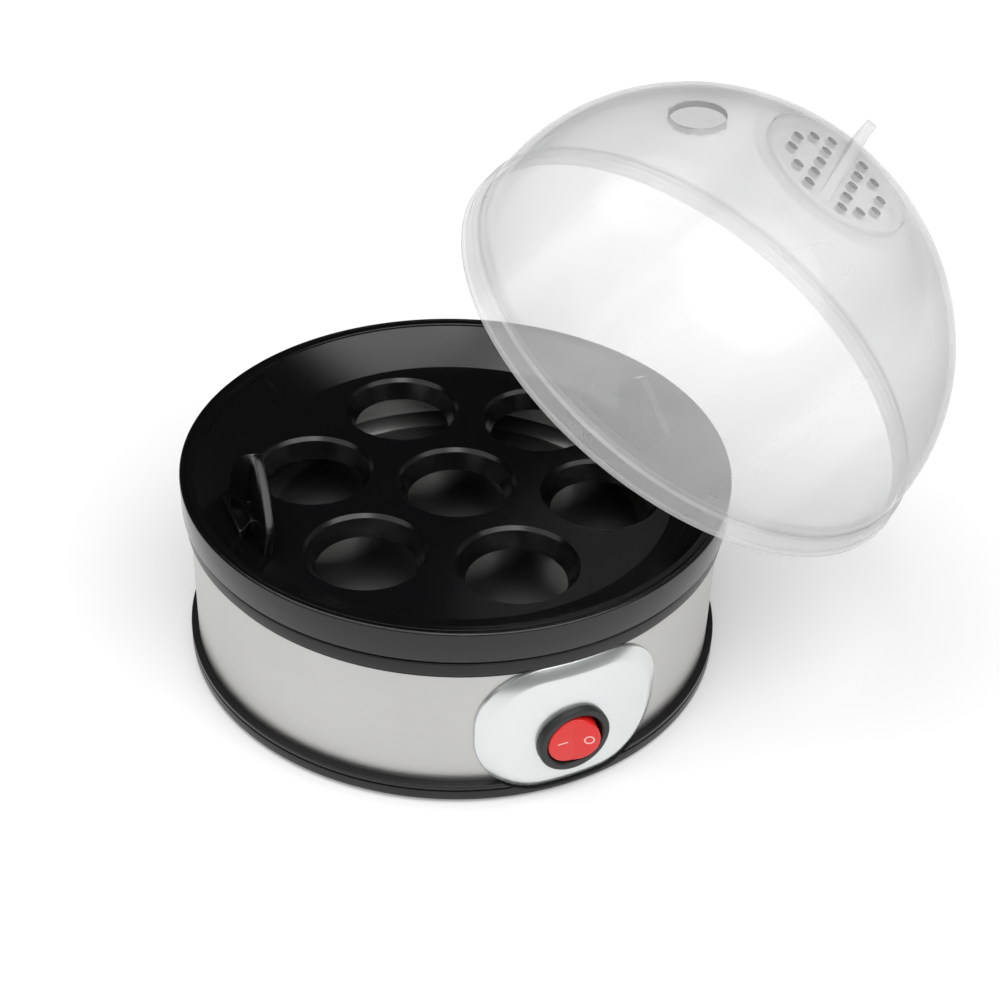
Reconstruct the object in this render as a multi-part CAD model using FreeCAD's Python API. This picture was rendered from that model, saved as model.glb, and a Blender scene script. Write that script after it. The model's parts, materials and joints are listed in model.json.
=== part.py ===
import FreeCAD, Part
import math
import os

from FreeCAD import Vector

# Round electric egg boiler for a kitchen counter. Millimetres, +Z up. The origin is on the round
# body's axis, on the table plane under the feet. The switch faces -Y and the cord inlet +Y.

# Gaps
overrun = 2.0            # how far a cutting shape runs past the face that it cuts
touch_gap = 0.3          # between a loose piece and the piece that carries it
slip_gap = 0.15          # round a fixed piece in its hole
thread_gap = 0.05        # round a screw in its threaded hole
same_point = 1e-6        # points closer than this are one point

# Outer body, from the table up
body_radius = 92.5       # bottom ring and tray band
foot_stand = 1.2         # height of the underside above the table
ring_height = 6.0
ring_round = 0.8
ring_groove = 0.7        # depth and width of the groove round the bottom ring
ring_groove_share = 0.62 # height of that groove on the ring
steel_height = 43.8
steel_step = 2.5         # how far the ring and band stand out past the steel
steel_wall = 0.6
neck_height = 2.0        # dark line between the steel and the collar
collar_height = 4.5
collar_step = 1.0        # how far the collar stands in from the band
collar_round = 0.6
band_gap = 1.5           # dark line between the collar and the tray's band
band_height = 11.0

# Feet
foot_radius = 7.0
foot_sink = 1.6          # depth of each foot's recess in the underside
foot_inset = 16.5        # from the body's outside to the feet's circle
foot_count = 4
foot_round = 0.5

# Bottom shell
shell_wall = 2.4
spigot_height = 5.0      # upstand inside the steel, above the ring
spigot_wall = 2.0
vent_width = 3.0
vent_length = 24.0
vent_pitch = 8.0
vent_count = 5
vent_offset = 34.0       # from the axis to the middle slot of each group

# Fixing posts and their screws
post_count = 4
post_turn = 45.0         # degrees from +X to the first post
post_inset = 8.1         # from the body's outside to the posts' circle
post_radius = 3.4
boss_radius = 4.4
boss_height = 12.4       # above the shell's floor
boss_roof = 2.2          # plastic over a screw head
screw_radius = 1.5
screw_head_radius = 2.8
screw_head_height = 2.0
screw_head_gap = 0.3
screw_bite = 9.0         # thread length inside a post
screw_slot = 0.8
screw_slot_depth = 0.9

# Top collar and the seat of the water pan
collar_wall = 2.2
sleeve_height = 5.0      # part of the collar inside the steel
bore_inset = 12.5        # from the body's outside to the bore that the tray's spigot drops into
seat_depth = 11.0        # from the collar's top down to the ledge
ledge_width = 4.5
ledge_wall = 2.5

# Water pan
pan_wall = 0.8
pan_depth = 9.5
pan_floor_inset = 14.0   # from the bore to the edge of the pan's flat floor
pan_round = 3.0
gasket_height = 1.0
stud_radius = 2.0
stud_inset = 8.0         # from that edge to the studs' circle
stud_length = 12.0
stud_count = 3
stud_turn = 90.0         # degrees from +X to the first stud

# Heating element, clamp and safety parts under the pan
element_inset = 16.0     # from the studs' circle to the element's middle line
element_width = 12.0
element_height = 7.0
element_arc = 300.0      # degrees
element_round = 2.0
pin_radius = 1.2
pin_length = 11.0
pin_inset = 6.0          # degrees from the element's end to its pin
clamp_wall = 1.4
clamp_hub_radius = 13.0
clamp_arm_width = 11.0
clamp_tip = 5.0          # how far an arm runs past its stud
thermostat_radius = 8.0
thermostat_neck = 5.2
thermostat_tail = 4.0    # how far the thermostat shows under its clamp
nut_across = 7.0
nut_height = 3.2
fuse_radius = 2.2
fuse_length = 12.0

# Flat terminals
tab_width = 6.3
tab_wall = 0.8
tab_length = 7.5
switch_tab_inset = 4.8   # from the barrel's outside to each of the switch's terminals
heat_tab_spread = 4.0

# Front panel
panel_width = 65.0
panel_lift = 2.6         # from the table to the panel's lower edge
panel_top_inset = 3.4    # from the collar's top down to the panel's upper edge
panel_corner_share = 0.42718  # of the panel's height
panel_rise = 3.4         # how far the panel's face stands out past the steel
panel_bevel_width = 4.2
panel_bevel_drop = 2.2
panel_boss_radius = 3.0
panel_boss_spread = 22.5 # from the middle to each boss
panel_boss_length = 8.0
clip_radius = 6.0
clip_wall = 0.6

# Rocker switch
switch_edge = 1.5        # from the ring's top up to the switch's barrel
bezel_step = 1.8         # how far the bezel stands out past the barrel
bezel_height = 2.2
bezel_round = 0.9
barrel_radius = 11.8
barrel_depth = 20.0      # behind the panel's face
barrel_wall = 1.1
well_depth = 9.6         # behind the bezel's front
rocker_gap = 1.1         # round the rocker in its well
rocker_pivot_depth = 4.0 # pivot behind the bezel's front
rocker_swing = 20.0      # degrees, from one side pressed to the other
rocker_valley = 3.8      # from the pivot to the middle of the face
rocker_slope = 10.0      # degrees that each half of the face rises to its end
rocker_back = 3.2        # from the pivot to the back
pivot_radius = 1.1
pivot_cover = 0.3        # from a pivot's end to the barrel's outside
pivot_gap = 0.05

# Cord inlet at the back
bush_lift = 21.0
bush_bore = 3.6
bush_neck = 6.0
bush_flange_radius = 8.5
bush_flange = 2.6
bush_tail = 7.0

# Terminal block and wires
block_width = 24.0
block_depth = 10.0
block_height = 9.0
block_inset = 22.5       # from the body's outside to the block's rear face
pole_pitch = 7.0
pole_screw_radius = 1.7
pole_screw_sink = 1.0
pole_screw_length = 4.0
wire_radius = 1.0
wire_bend = 3.0
wire_lift = 8.0          # height of the lower runs above the table
wire_high = 12.0         # height of the upper runs
wire_bend_gap = 5.9      # from the switch's terminals to the bends behind them
wire_step = 11.0         # how far the neutral wire runs before it turns
earth_inset = 8.0        # from the studs' circle to the end of the earth wire

# Egg tray
band_wall = 2.0
rim_width = 4.5
rim_round = 0.6
rim_line_inset = 1.6     # fine groove along the rim
rim_line = 0.4
rim_slope_drop = 0.8
floor_drop = 10.0        # from the rim's top down to the tray's floor
floor_wall = 2.0
slope_inset = 19.0       # from the body's outside to where the sloped wall meets the floor
slope_wall = 2.3         # measured straight down
tray_spigot_gap = 0.5
tray_spigot_wall = 2.0
tray_spigot_drop = 8.0   # below the collar's top
tray_shoulder = 3.5      # width of the face that rests on the collar
seat_pitch_share = 0.66667  # of the floor's radius, from the middle to the outer seats
seat_count = 6
seat_turn = -90.0        # degrees from +X to the first seat
seat_mouth_share = 0.27755  # of the floor's radius
seat_throat_step = 1.2   # from the mouth in to the foot of its bevel
seat_bevel = 1.2
seat_hole_step = 3.8     # from the mouth in to the opening at the bottom
seat_drop = 7.0          # from the tray's floor down to that opening
seat_wall = 1.7

# Grip fins on the tray
fin_width = 40.0
fin_rise = 17.3          # above the rim's top
fin_wall = 3.0
fin_inset = 18.5         # from the body's outside to the fin's outer face at the tray's floor
fin_lean = 8.3           # degrees that the fin leans to the middle
fin_turn = -1.9          # degrees from +X to the first fin
fin_pocket = 1.1         # depth of the channel on the outer face
fin_channel = 4.4        # width of that channel
fin_channel_low = 2.0    # channel's foot, below the rim's top
fin_channel_high = 13.0  # channel's head, above the rim's top
scoop_half = 6.5         # half the length of the finger scoop at the fin
scoop_flare = 5.5        # how much longer that half is at the scoop's far side
scoop_reach = 5.0        # how far it stands out from the fin's foot
scoop_drop = 3.6         # from the rim's top down to the scoop's edge
scoop_depth = 3.2
scoop_wall = 1.2
finger_turn = 30.0       # degrees taken by the shallow recess for fingers
finger_shift = 13.6      # degrees from the fin back to the recess's middle
finger_low_inset = 8.2   # from the rim's inner edge to the recess's foot
finger_top_inset = 1.2   # from the rim's inner edge to the recess's top
finger_sink = 0.7
fin_rib_wall = 0.9
fin_rib_width = 5.0
fin_arch_shares = ((1, 0), (0.92, 0.15), (0.81, 0.3), (0.68, 0.45), (0.54, 0.6),
                   (0.37, 0.75), (0.21, 0.88), (0.1, 0.96), (0.04, 1))

# Lid
lid_inset = 3.5          # how far the flange stands in from the tray's band
lid_flange = 1.8
lid_flange_step = 0.9    # how far the flange stands out past the skirt
lid_flange_round = 0.5
skirt_height = 7.0
skirt_step = 1.7         # how far the skirt stands out past the dome
skirt_round = 0.6
dome_height = 78.8
dome_steps = 16          # lengths that make up the dome's curve
lid_wall = 2.0
vent_opening = 26.0
vent_sink = 0.8          # how far the cap's disc lies below the dome's edge
vent_wall = 1.8
vent_ledge = 2.6
vent_slant = 4.0         # from the opening to the dome's full thickness
steam_radius = 9.0
steam_circle = 46.8
steam_turn = 175.8       # degrees from +X

# Vent cap
vent_hole_radius = 1.8
vent_row_offset = 6.3    # from the grip's middle to the nearer row of holes
vent_row_pitch = 8.7
vent_row_count = 5
vent_arc_radius = 17.0
vent_arc_count = 4
vent_arc_step = 30.0     # degrees
grip_turn = 72.7         # degrees from +X
grip_length = 50.0
grip_rise = 11.0
grip_wall = 3.4
grip_round = 1.2
grip_shares = ((-0.5, 0), (-0.4, 0.1), (-0.2, 0.32), (0, 0.52), (0.2, 0.72), (0.36, 0.92), (0.41, 1),
               (0.45, 0.97), (0.46, 0.7), (0.48, 0.3), (0.5, 0))

# The lid is held open: turned about one slanted axis from its seat on the tray
swing_angle = 40.63      # degrees
swing_axis_shares = (0.3285, 0.6591, -0.6765)
swing_right_share = 0.64054  # of the body's radius: that axis runs through a point to the right of
swing_front_share = 0.99741  # the middle, in front of it
swing_drop_share = 0.65741   # and below the tray's rim

# Heights from the table
ring_top = foot_stand + ring_height
steel_top = ring_top + steel_height
collar_bottom = steel_top + neck_height
collar_top = collar_bottom + collar_height
band_bottom = collar_top + band_gap
rim_top = band_bottom + band_height
floor_top = rim_top - floor_drop
floor_bottom = floor_top - floor_wall
shell_floor = foot_stand + shell_wall
boss_top = shell_floor + boss_height
ledge_top = collar_top - seat_depth
pan_flange = ledge_top + gasket_height
pan_floor = pan_flange + pan_wall - pan_depth
pan_bottom = pan_floor - pan_wall
clamp_top = pan_bottom - element_height
clamp_bottom = clamp_top - clamp_wall
thermostat_bottom = clamp_bottom - thermostat_tail
heat_tab_end = thermostat_bottom - tab_length
pin_end = clamp_top - pin_length
lid_seat = rim_top + touch_gap

# Radii
steel_radius = body_radius - steel_step
steel_bore = steel_radius - steel_wall
sleeve_radius = steel_bore - slip_gap
collar_radius = body_radius - collar_step
panel_back = steel_radius + slip_gap
panel_face = steel_radius + panel_rise
panel_height = collar_top - panel_top_inset - panel_lift
panel_corner = panel_height * panel_corner_share
switch_lift = ring_top + switch_edge + barrel_radius
bezel_radius = barrel_radius + bezel_step
well_radius = barrel_radius - barrel_wall
rocker_radius = well_radius - rocker_gap
pivot_reach = barrel_radius - pivot_cover
switch_tab_spread = barrel_radius - switch_tab_inset
bezel_front = panel_face + bezel_height
pivot_distance = bezel_front - rocker_pivot_depth
rim_inner = body_radius - rim_width
seat_bore = body_radius - bore_inset
foot_circle = body_radius - foot_inset
post_circle = body_radius - post_inset
pan_radius = seat_bore - slip_gap
pan_wall_radius = seat_bore - ledge_width - slip_gap
lid_radius = body_radius - lid_inset
skirt_radius = lid_radius - lid_flange_step
dome_radius = skirt_radius - skirt_step
pan_floor_radius = seat_bore - pan_floor_inset
stud_circle = pan_floor_radius - stud_inset
element_circle = stud_circle - element_inset
earth_reach = stud_circle - earth_inset
clamp_reach = stud_circle + clamp_tip
block_rear = body_radius - block_inset
block_front = block_rear - block_depth
switch_tab_back = panel_face - barrel_depth - tab_length
wire_turn = switch_tab_back - wire_bend_gap
slope_foot = body_radius - slope_inset
seat_pitch = slope_foot * seat_pitch_share
seat_mouth = slope_foot * seat_mouth_share
seat_throat = seat_mouth - seat_throat_step
seat_hole = seat_mouth - seat_hole_step
fin_foot = body_radius - fin_inset
finger_foot = rim_inner - finger_low_inset
finger_reach = rim_inner - finger_top_inset
swing_right = body_radius * swing_right_share
swing_front = body_radius * swing_front_share
swing_drop = body_radius * swing_drop_share

Z_AXIS = Vector(0, 0, 1)
Y_AXIS = Vector(0, 1, 0)
CENTRE = Vector(0, 0, 0)


def on_side(a, b):
    """Place an outline point by radius and height."""
    return Vector(a, 0, b)


def on_end(a, b):
    """Place an outline point that is seen along X."""
    return Vector(0, a, b)


def in_plan(a, b):
    """Place an outline point that is seen from above."""
    return Vector(a, b, 0)


def rounded_corner(before, corner, after, radius):
    """Return the start, middle and end of the arc that rounds a corner."""
    to_before = (before - corner).normalize()
    to_after = (after - corner).normalize()
    half = to_before.getAngle(to_after) / 2
    inward = (to_before + to_after).normalize()
    reach = radius / math.tan(half)
    middle = corner + inward * (radius / math.sin(half) - radius)
    return corner + to_before * reach, middle, corner + to_after * reach


def path_edges(places, rounds, closed):
    """Make the edges of a path; each corner is rounded to its own radius."""
    count = len(places)
    stops = []
    for index, place in enumerate(places):
        inside = closed or 0 < index < count - 1
        if inside and rounds[index] > 0:
            after = places[(index + 1) % count]
            stops.append(rounded_corner(places[index - 1], place, after, rounds[index]))
        else:
            stops.append((place, None, place))
    edges = []
    for index, (start, middle, end) in enumerate(stops):
        if middle is not None:
            edges.append(Part.Arc(start, middle, end).toShape())
        if closed or index < count - 1:
            following = stops[(index + 1) % count][0]
            if following.distanceToPoint(end) > same_point:
                edges.append(Part.LineSegment(end, following).toShape())
    return edges


def outline(corners, place):
    """Make a flat face; a corner's third value is its rounding."""
    places = [place(corner[0], corner[1]) for corner in corners]
    rounds = [corner[2] if len(corner) > 2 else 0 for corner in corners]
    return Part.Face(Part.Wire(path_edges(places, rounds, True)))


def turned(corners, angle=360):
    """Revolve an outline of radii and heights about the body's axis."""
    return outline(corners, on_side).revolve(CENTRE, Z_AXIS, angle)


def disc(radius, bottom, top, x=0, y=0):
    """Make an upright cylinder between two heights."""
    return Part.makeCylinder(radius, top - bottom, Vector(x, y, bottom))


def barrel(radius, front, back, x=0, height=0):
    """Make a cylinder along Y between two distances in front of the body's axis."""
    return Part.makeCylinder(radius, front - back, Vector(x, -front, height), Y_AXIS)


def block(low, high):
    """Make a box between two corners."""
    size = high - low
    return Part.makeBox(size.x, size.y, size.z, low)


def moved(shape, x=0, y=0, z=0):
    """Copy a shape shifted to another place."""
    copy = shape.copy()
    copy.translate(Vector(x, y, z))
    return copy


def around(shape, degrees):
    """Copy a shape turned about the body's axis."""
    copy = shape.copy()
    copy.rotate(CENTRE, Z_AXIS, degrees)
    return copy


def repeated(shape, count, first=0):
    """Copy a shape at even angles about the body's axis."""
    return [around(shape, first + 360 * index / count) for index in range(count)]


def joined(shapes):
    """Fuse shapes into one and merge faces that continue each other."""
    return shapes[0].fuse(shapes[1:]).removeSplitter()


def group(shapes):
    """Keep separate solids together as one piece."""
    return Part.makeCompound(shapes)


def wire(places):
    """Make a round wire along straight runs with rounded corners."""
    edges = path_edges(places, [wire_bend] * len(places), False)
    start = places[0]
    ring = Part.Wire(Part.makeCircle(wire_radius, start, places[1] - start))
    return Part.Wire(edges).makePipeShell([ring], True, True)


def panel_prism(margin, front, back):
    """Make the panel's rounded outline as a bar along Y; the margin widens it."""
    side = panel_width / 2 + margin
    low = panel_lift - margin
    high = panel_lift + panel_height + margin
    corner = panel_corner + margin
    face = outline([(-side, low, corner), (side, low, corner), (side, high, corner),
                    (-side, high, corner)], on_side)
    return moved(face, y=-front).extrude(Vector(0, front - back, 0))


def panel_notch():
    """Make the room that the panel takes up outside the steel."""
    prism = panel_prism(slip_gap, body_radius + overrun, body_radius / 2)
    return prism.cut(disc(steel_radius, -overrun, rim_top))


def make_bottom_shell():
    spigot_top = ring_top + spigot_height
    ring_inner = sleeve_radius - spigot_wall
    groove = foot_stand + ring_height * ring_groove_share
    groove_top = groove + ring_groove
    groove_radius = body_radius - ring_groove
    shell = turned([(0, foot_stand), (body_radius, foot_stand, ring_round), (body_radius, groove),
                    (groove_radius, groove), (groove_radius, groove_top), (body_radius, groove_top),
                    (body_radius, ring_top, ring_round / 2), (sleeve_radius, ring_top),
                    (sleeve_radius, spigot_top), (ring_inner, spigot_top), (ring_inner, shell_floor),
                    (0, shell_floor)])
    boss = disc(boss_radius, shell_floor, boss_top, post_circle)
    shell = joined([shell] + repeated(boss, post_count, post_turn))
    socket = disc(screw_head_radius + screw_head_gap, foot_stand - overrun, boss_top - boss_roof, post_circle)
    hole = disc(screw_radius + slip_gap, foot_stand, boss_top + overrun, post_circle)
    recess = disc(foot_radius + slip_gap, foot_stand - overrun, foot_stand + foot_sink, foot_circle)
    cuts = repeated(socket, post_count, post_turn) + repeated(hole, post_count, post_turn)
    cuts += repeated(recess, foot_count)
    for side in (-1, 1):
        for index in range(vent_count):
            x = side * vent_offset + (index - (vent_count - 1) / 2) * vent_pitch
            low = Vector(x - vent_width / 2, -vent_length / 2, 0)
            high = Vector(x + vent_width / 2, vent_length / 2, shell_floor + overrun)
            cuts.append(block(low, high))
    cuts.append(barrel(barrel_radius + slip_gap, body_radius + overrun, body_radius / 2, 0, switch_lift))
    cuts.append(panel_notch())
    return shell.cut(cuts)


def make_rubber_feet():
    foot_top = foot_stand + foot_sink
    foot = turned([(0, 0), (foot_radius, 0, foot_round), (foot_radius, foot_top), (0, foot_top)])
    return group(repeated(moved(foot, x=foot_circle), foot_count))


def make_steel_band():
    band = disc(steel_radius, ring_top, steel_top).cut(disc(steel_bore, ring_top, steel_top))
    cuts = [barrel(barrel_radius + slip_gap, body_radius, body_radius / 2, 0, switch_lift)]
    for side in (-1, 1):
        x = side * panel_boss_spread
        cuts.append(barrel(panel_boss_radius + slip_gap, body_radius, body_radius / 2, x, panel_middle()))
    cuts.append(barrel(bush_neck + slip_gap, -body_radius / 2, -body_radius, 0, bush_lift))
    return band.cut(cuts)


def panel_middle():
    """Return the height of the panel's bosses."""
    return panel_lift + panel_height / 2


def make_top_collar():
    sleeve_bottom = steel_top - sleeve_height
    sleeve_inner = sleeve_radius - spigot_wall
    deck = collar_top - collar_wall
    seat_outer = seat_bore + collar_wall
    ledge_bore = seat_bore - ledge_width
    ledge_bottom = ledge_top - ledge_wall
    collar = turned([(seat_bore, collar_top), (collar_radius, collar_top, collar_round),
                     (collar_radius, collar_bottom, collar_round / 2), (steel_radius, collar_bottom),
                     (steel_radius, steel_top), (sleeve_radius, steel_top), (sleeve_radius, sleeve_bottom),
                     (sleeve_inner, sleeve_bottom), (sleeve_inner, deck), (seat_outer, deck),
                     (seat_outer, ledge_bottom), (ledge_bore, ledge_bottom), (ledge_bore, ledge_top),
                     (seat_bore, ledge_top)])
    post = disc(post_radius, boss_top, deck + collar_wall / 2, post_circle)
    bore = disc(screw_radius + thread_gap, boss_top - overrun, boss_top + screw_bite + overrun, post_circle)
    collar = joined([collar] + repeated(post, post_count, post_turn))
    return collar.cut(repeated(bore, post_count, post_turn) + [panel_notch()])


def make_base_screws():
    head_top = boss_top - boss_roof
    head_bottom = head_top - screw_head_height
    screw = joined([disc(screw_head_radius, head_bottom, head_top, post_circle),
                    disc(screw_radius, head_bottom, boss_top + screw_bite, post_circle)])
    low = Vector(post_circle - screw_head_radius, -screw_slot / 2, head_bottom - overrun)
    high = Vector(post_circle + screw_head_radius, screw_slot / 2, head_bottom + screw_slot_depth)
    return group(repeated(screw.cut(block(low, high)), post_count, post_turn))


def make_plate_gasket():
    inner = seat_bore - ledge_width
    return turned([(inner, ledge_top), (pan_radius, ledge_top), (pan_radius, pan_flange), (inner, pan_flange)])


def make_heating_plate():
    flange_top = pan_flange + pan_wall
    inner = pan_wall_radius - pan_wall
    slant = pan_floor_radius + pan_depth - pan_round
    pan = turned([(0, pan_bottom), (pan_floor_radius, pan_bottom, pan_round), (slant, pan_floor + pan_round),
                  (pan_wall_radius, pan_flange), (pan_radius, pan_flange), (pan_radius, flange_top),
                  (inner, flange_top), (slant - pan_wall, pan_floor + pan_round),
                  (pan_floor_radius - pan_wall, pan_floor, pan_round), (0, pan_floor)])
    stud = disc(stud_radius, pan_bottom - stud_length, pan_bottom + pan_wall / 2, stud_circle)
    return joined([pan] + repeated(stud, stud_count, stud_turn))


def make_heating_element():
    inner = element_circle - element_width / 2
    outer = element_circle + element_width / 2
    ring = turned([(inner, pan_bottom), (inner, clamp_top, element_round), (outer, clamp_top, element_round),
                   (outer, pan_bottom)], element_arc)
    return around(ring, stud_turn + (360 - element_arc) / 2)


def pin_turns():
    """Return the angles of the element's two pins."""
    reach = (360 - element_arc) / 2 + pin_inset
    return stud_turn - reach, stud_turn + reach


def make_element_pins():
    pin = disc(pin_radius, pin_end, clamp_top, element_circle)
    return group([around(pin, turn) for turn in pin_turns()])


def make_clamp_bracket():
    arm = block(Vector(0, -clamp_arm_width / 2, clamp_bottom), Vector(clamp_reach, clamp_arm_width / 2, clamp_top))
    hub = disc(clamp_hub_radius, clamp_bottom, clamp_top)
    hole = disc(stud_radius + slip_gap, clamp_bottom - overrun, clamp_top + overrun, stud_circle)
    middle = disc(thermostat_neck + slip_gap, clamp_bottom - overrun, clamp_top + overrun)
    bracket = joined([hub] + repeated(arm, stud_count, stud_turn))
    return bracket.cut(repeated(hole, stud_count, stud_turn) + [middle])


def make_plate_nuts():
    corner = nut_across / math.sqrt(3)
    places = [around(Part.Vertex(corner, 0, 0), 60 * index).Point for index in range(6)]
    prism = Part.Face(Part.makePolygon(places + places[:1])).extrude(Vector(0, 0, nut_height))
    nut = moved(prism, x=stud_circle, z=clamp_bottom - nut_height)
    nut = nut.cut(disc(stud_radius + thread_gap, clamp_bottom - nut_height, clamp_bottom, stud_circle))
    return group(repeated(nut, stud_count, stud_turn))


def make_thermostat():
    return joined([disc(thermostat_radius, clamp_top, pan_bottom),
                   disc(thermostat_neck, thermostat_bottom, clamp_top)])


def make_heat_tabs():
    tabs = []
    for side in (-1, 1):
        x = side * heat_tab_spread
        low = Vector(x - tab_wall / 2, -tab_width / 2, heat_tab_end)
        tabs.append(block(low, Vector(x + tab_wall / 2, tab_width / 2, thermostat_bottom)))
    return group(tabs)


def fuse_ends():
    """Return the two ends of the fuse, half-way along its wire."""
    start = Vector(-heat_tab_spread, 0, wire_high)
    end = pin_place(pin_turns()[1], wire_high)
    middle = (start + end) / 2
    reach = (end - start).normalize() * (fuse_length / 2)
    return middle - reach, middle + reach


def pin_place(turn, height):
    """Return the place of an element pin at a height."""
    angle = math.radians(turn)
    return Vector(element_circle * math.cos(angle), element_circle * math.sin(angle), height)


def make_thermal_fuse():
    start, end = fuse_ends()
    return Part.makeCylinder(fuse_radius, fuse_length, start, end - start)


def make_live_wires():
    live = wire([Vector(-pole_pitch, block_front, wire_lift), Vector(-pole_pitch, -wire_turn, wire_lift),
                 Vector(-switch_tab_spread, -wire_turn, switch_lift),
                 Vector(-switch_tab_spread, -switch_tab_back, switch_lift)])
    switched = wire([Vector(switch_tab_spread, -switch_tab_back, switch_lift),
                     Vector(switch_tab_spread, -wire_turn, switch_lift),
                     Vector(switch_tab_spread, -wire_turn, wire_high),
                     Vector(heat_tab_spread, 0, wire_high), Vector(heat_tab_spread, 0, heat_tab_end)])
    fuse_start, fuse_end = fuse_ends()
    turn = pin_turns()[1]
    to_fuse = wire([Vector(-heat_tab_spread, 0, heat_tab_end), Vector(-heat_tab_spread, 0, wire_high), fuse_start])
    to_pin = wire([fuse_end, pin_place(turn, wire_high), pin_place(turn, pin_end)])
    return group([live, switched, to_fuse, to_pin])


def make_neutral_wire():
    turn = pin_turns()[0]
    return wire([Vector(pole_pitch, block_front, wire_lift), Vector(pole_pitch, block_front - wire_step, wire_lift),
                 pin_place(turn, wire_lift), pin_place(turn, pin_end)])


def make_earth_wire():
    return wire([Vector(0, block_front, wire_lift), Vector(0, earth_reach, wire_lift),
                 Vector(0, earth_reach, clamp_bottom)])


def make_terminal_block():
    low = Vector(-block_width / 2, block_front, shell_floor)
    box = block(low, Vector(block_width / 2, block_rear, shell_floor + block_height))
    top = shell_floor + block_height
    bottom = top - pole_screw_sink - pole_screw_length
    y = block_rear - block_depth / 2
    holes = [disc(pole_screw_radius + thread_gap, bottom, top, x, y) for x in (-pole_pitch, 0, pole_pitch)]
    return box.cut(holes)


def make_terminal_screws():
    top = shell_floor + block_height - pole_screw_sink
    y = block_rear - block_depth / 2
    screws = []
    for x in (-pole_pitch, 0, pole_pitch):
        screw = disc(pole_screw_radius, top - pole_screw_length, top, x, y)
        low = Vector(x - pole_screw_radius, y - screw_slot / 2, top - screw_slot_depth)
        high = Vector(x + pole_screw_radius, y + screw_slot / 2, top)
        screws.append(screw.cut(block(low, high)))
    return group(screws)


def make_cord_bush():
    inside = steel_bore - bush_tail
    outside = steel_radius + bush_flange
    flange = barrel(bush_flange_radius, -inside, -outside, 0, bush_lift).cut(disc(steel_radius, 0, rim_top))
    neck = barrel(bush_neck, -inside, -outside, 0, bush_lift)
    bore = barrel(bush_bore, -inside + overrun, -outside - overrun, 0, bush_lift)
    return joined([flange, neck]).cut(bore)


def make_control_panel():
    slab = panel_prism(0, body_radius + overrun + panel_rise, body_radius / 2)
    slab = slab.common(disc(panel_face, 0, rim_top))
    edges = [edge for edge in slab.Edges if is_outer_edge(edge)]
    slab = slab.makeChamfer(panel_bevel_drop, panel_bevel_width, edges)
    slab = slab.cut(disc(panel_back, -overrun, rim_top))
    front = math.sqrt(panel_face ** 2 - (panel_boss_spread + panel_boss_radius) ** 2) - touch_gap
    bosses = [barrel(panel_boss_radius, front, front - panel_boss_length, side * panel_boss_spread,
                     panel_middle()) for side in (-1, 1)]
    slab = joined([slab] + bosses)
    return slab.cut(barrel(barrel_radius + slip_gap, body_radius * 2, 0, 0, switch_lift))


def is_outer_edge(edge):
    """Tell whether an edge lies on the panel's front face."""
    places = edge.discretize(5)
    return all(abs(math.hypot(place.x, place.y) - panel_face) < touch_gap for place in places)


def make_panel_clips():
    back = math.sqrt(steel_bore ** 2 - (panel_boss_spread + clip_radius) ** 2)
    clips = []
    for side in (-1, 1):
        x = side * panel_boss_spread
        washer = barrel(clip_radius, back, back - clip_wall, x, panel_middle())
        clips.append(washer.cut(barrel(panel_boss_radius + thread_gap, body_radius, 0, x, panel_middle())))
    return group(clips)


def make_switch_housing():
    back = panel_face - barrel_depth
    rim = math.sqrt(panel_face ** 2 - bezel_radius ** 2)
    flange = barrel(bezel_radius, bezel_front, rim - touch_gap, 0, switch_lift)
    front_edges = [edge for edge in flange.Edges if abs(edge.BoundBox.YMin + bezel_front) < same_point
                   and edge.BoundBox.YLength < same_point]
    flange = flange.makeFillet(bezel_round, front_edges).cut(disc(panel_face, 0, rim_top))
    body = joined([flange, barrel(barrel_radius, bezel_front - bezel_round, back, 0, switch_lift)])
    well = barrel(well_radius, bezel_front + overrun, bezel_front - well_depth, 0, switch_lift)
    pivots = Part.makeCylinder(pivot_radius + pivot_gap, 2 * (pivot_reach + pivot_gap),
                               Vector(0, -pivot_distance, switch_lift - pivot_reach - pivot_gap))
    return body.cut([well, pivots])


def make_switch_tabs():
    back = panel_face - barrel_depth
    tabs = []
    for side in (-1, 1):
        x = side * switch_tab_spread
        low = Vector(x - tab_wall / 2, -back, switch_lift - tab_width / 2)
        tabs.append(block(low, Vector(x + tab_wall / 2, -back + tab_length, switch_lift + tab_width / 2)))
    return group(tabs)


def make_switch_rocker():
    rise = rocker_radius * math.tan(math.radians(rocker_slope))
    profile = outline([(-rocker_radius, rocker_back), (rocker_radius, rocker_back),
                       (rocker_radius, -rocker_valley - rise), (0, -rocker_valley),
                       (-rocker_radius, -rocker_valley - rise)], in_plan)
    bar = moved(profile, z=-rocker_radius).extrude(Vector(0, 0, 2 * rocker_radius))
    round_bar = barrel(rocker_radius, body_radius, -body_radius)
    button = bar.common(round_bar)
    pivots = Part.makeCylinder(pivot_radius, 2 * pivot_reach, Vector(0, 0, -pivot_reach))
    rocker = around(joined([button, pivots]), -rocker_swing / 2)
    return moved(rocker, y=-pivot_distance, z=switch_lift)


def slope_height(radius):
    """Return the height of the tray's sloped wall at a radius."""
    share = (radius - slope_foot) / (rim_inner - slope_foot)
    return floor_top + share * (rim_top - rim_slope_drop - floor_top)


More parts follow.
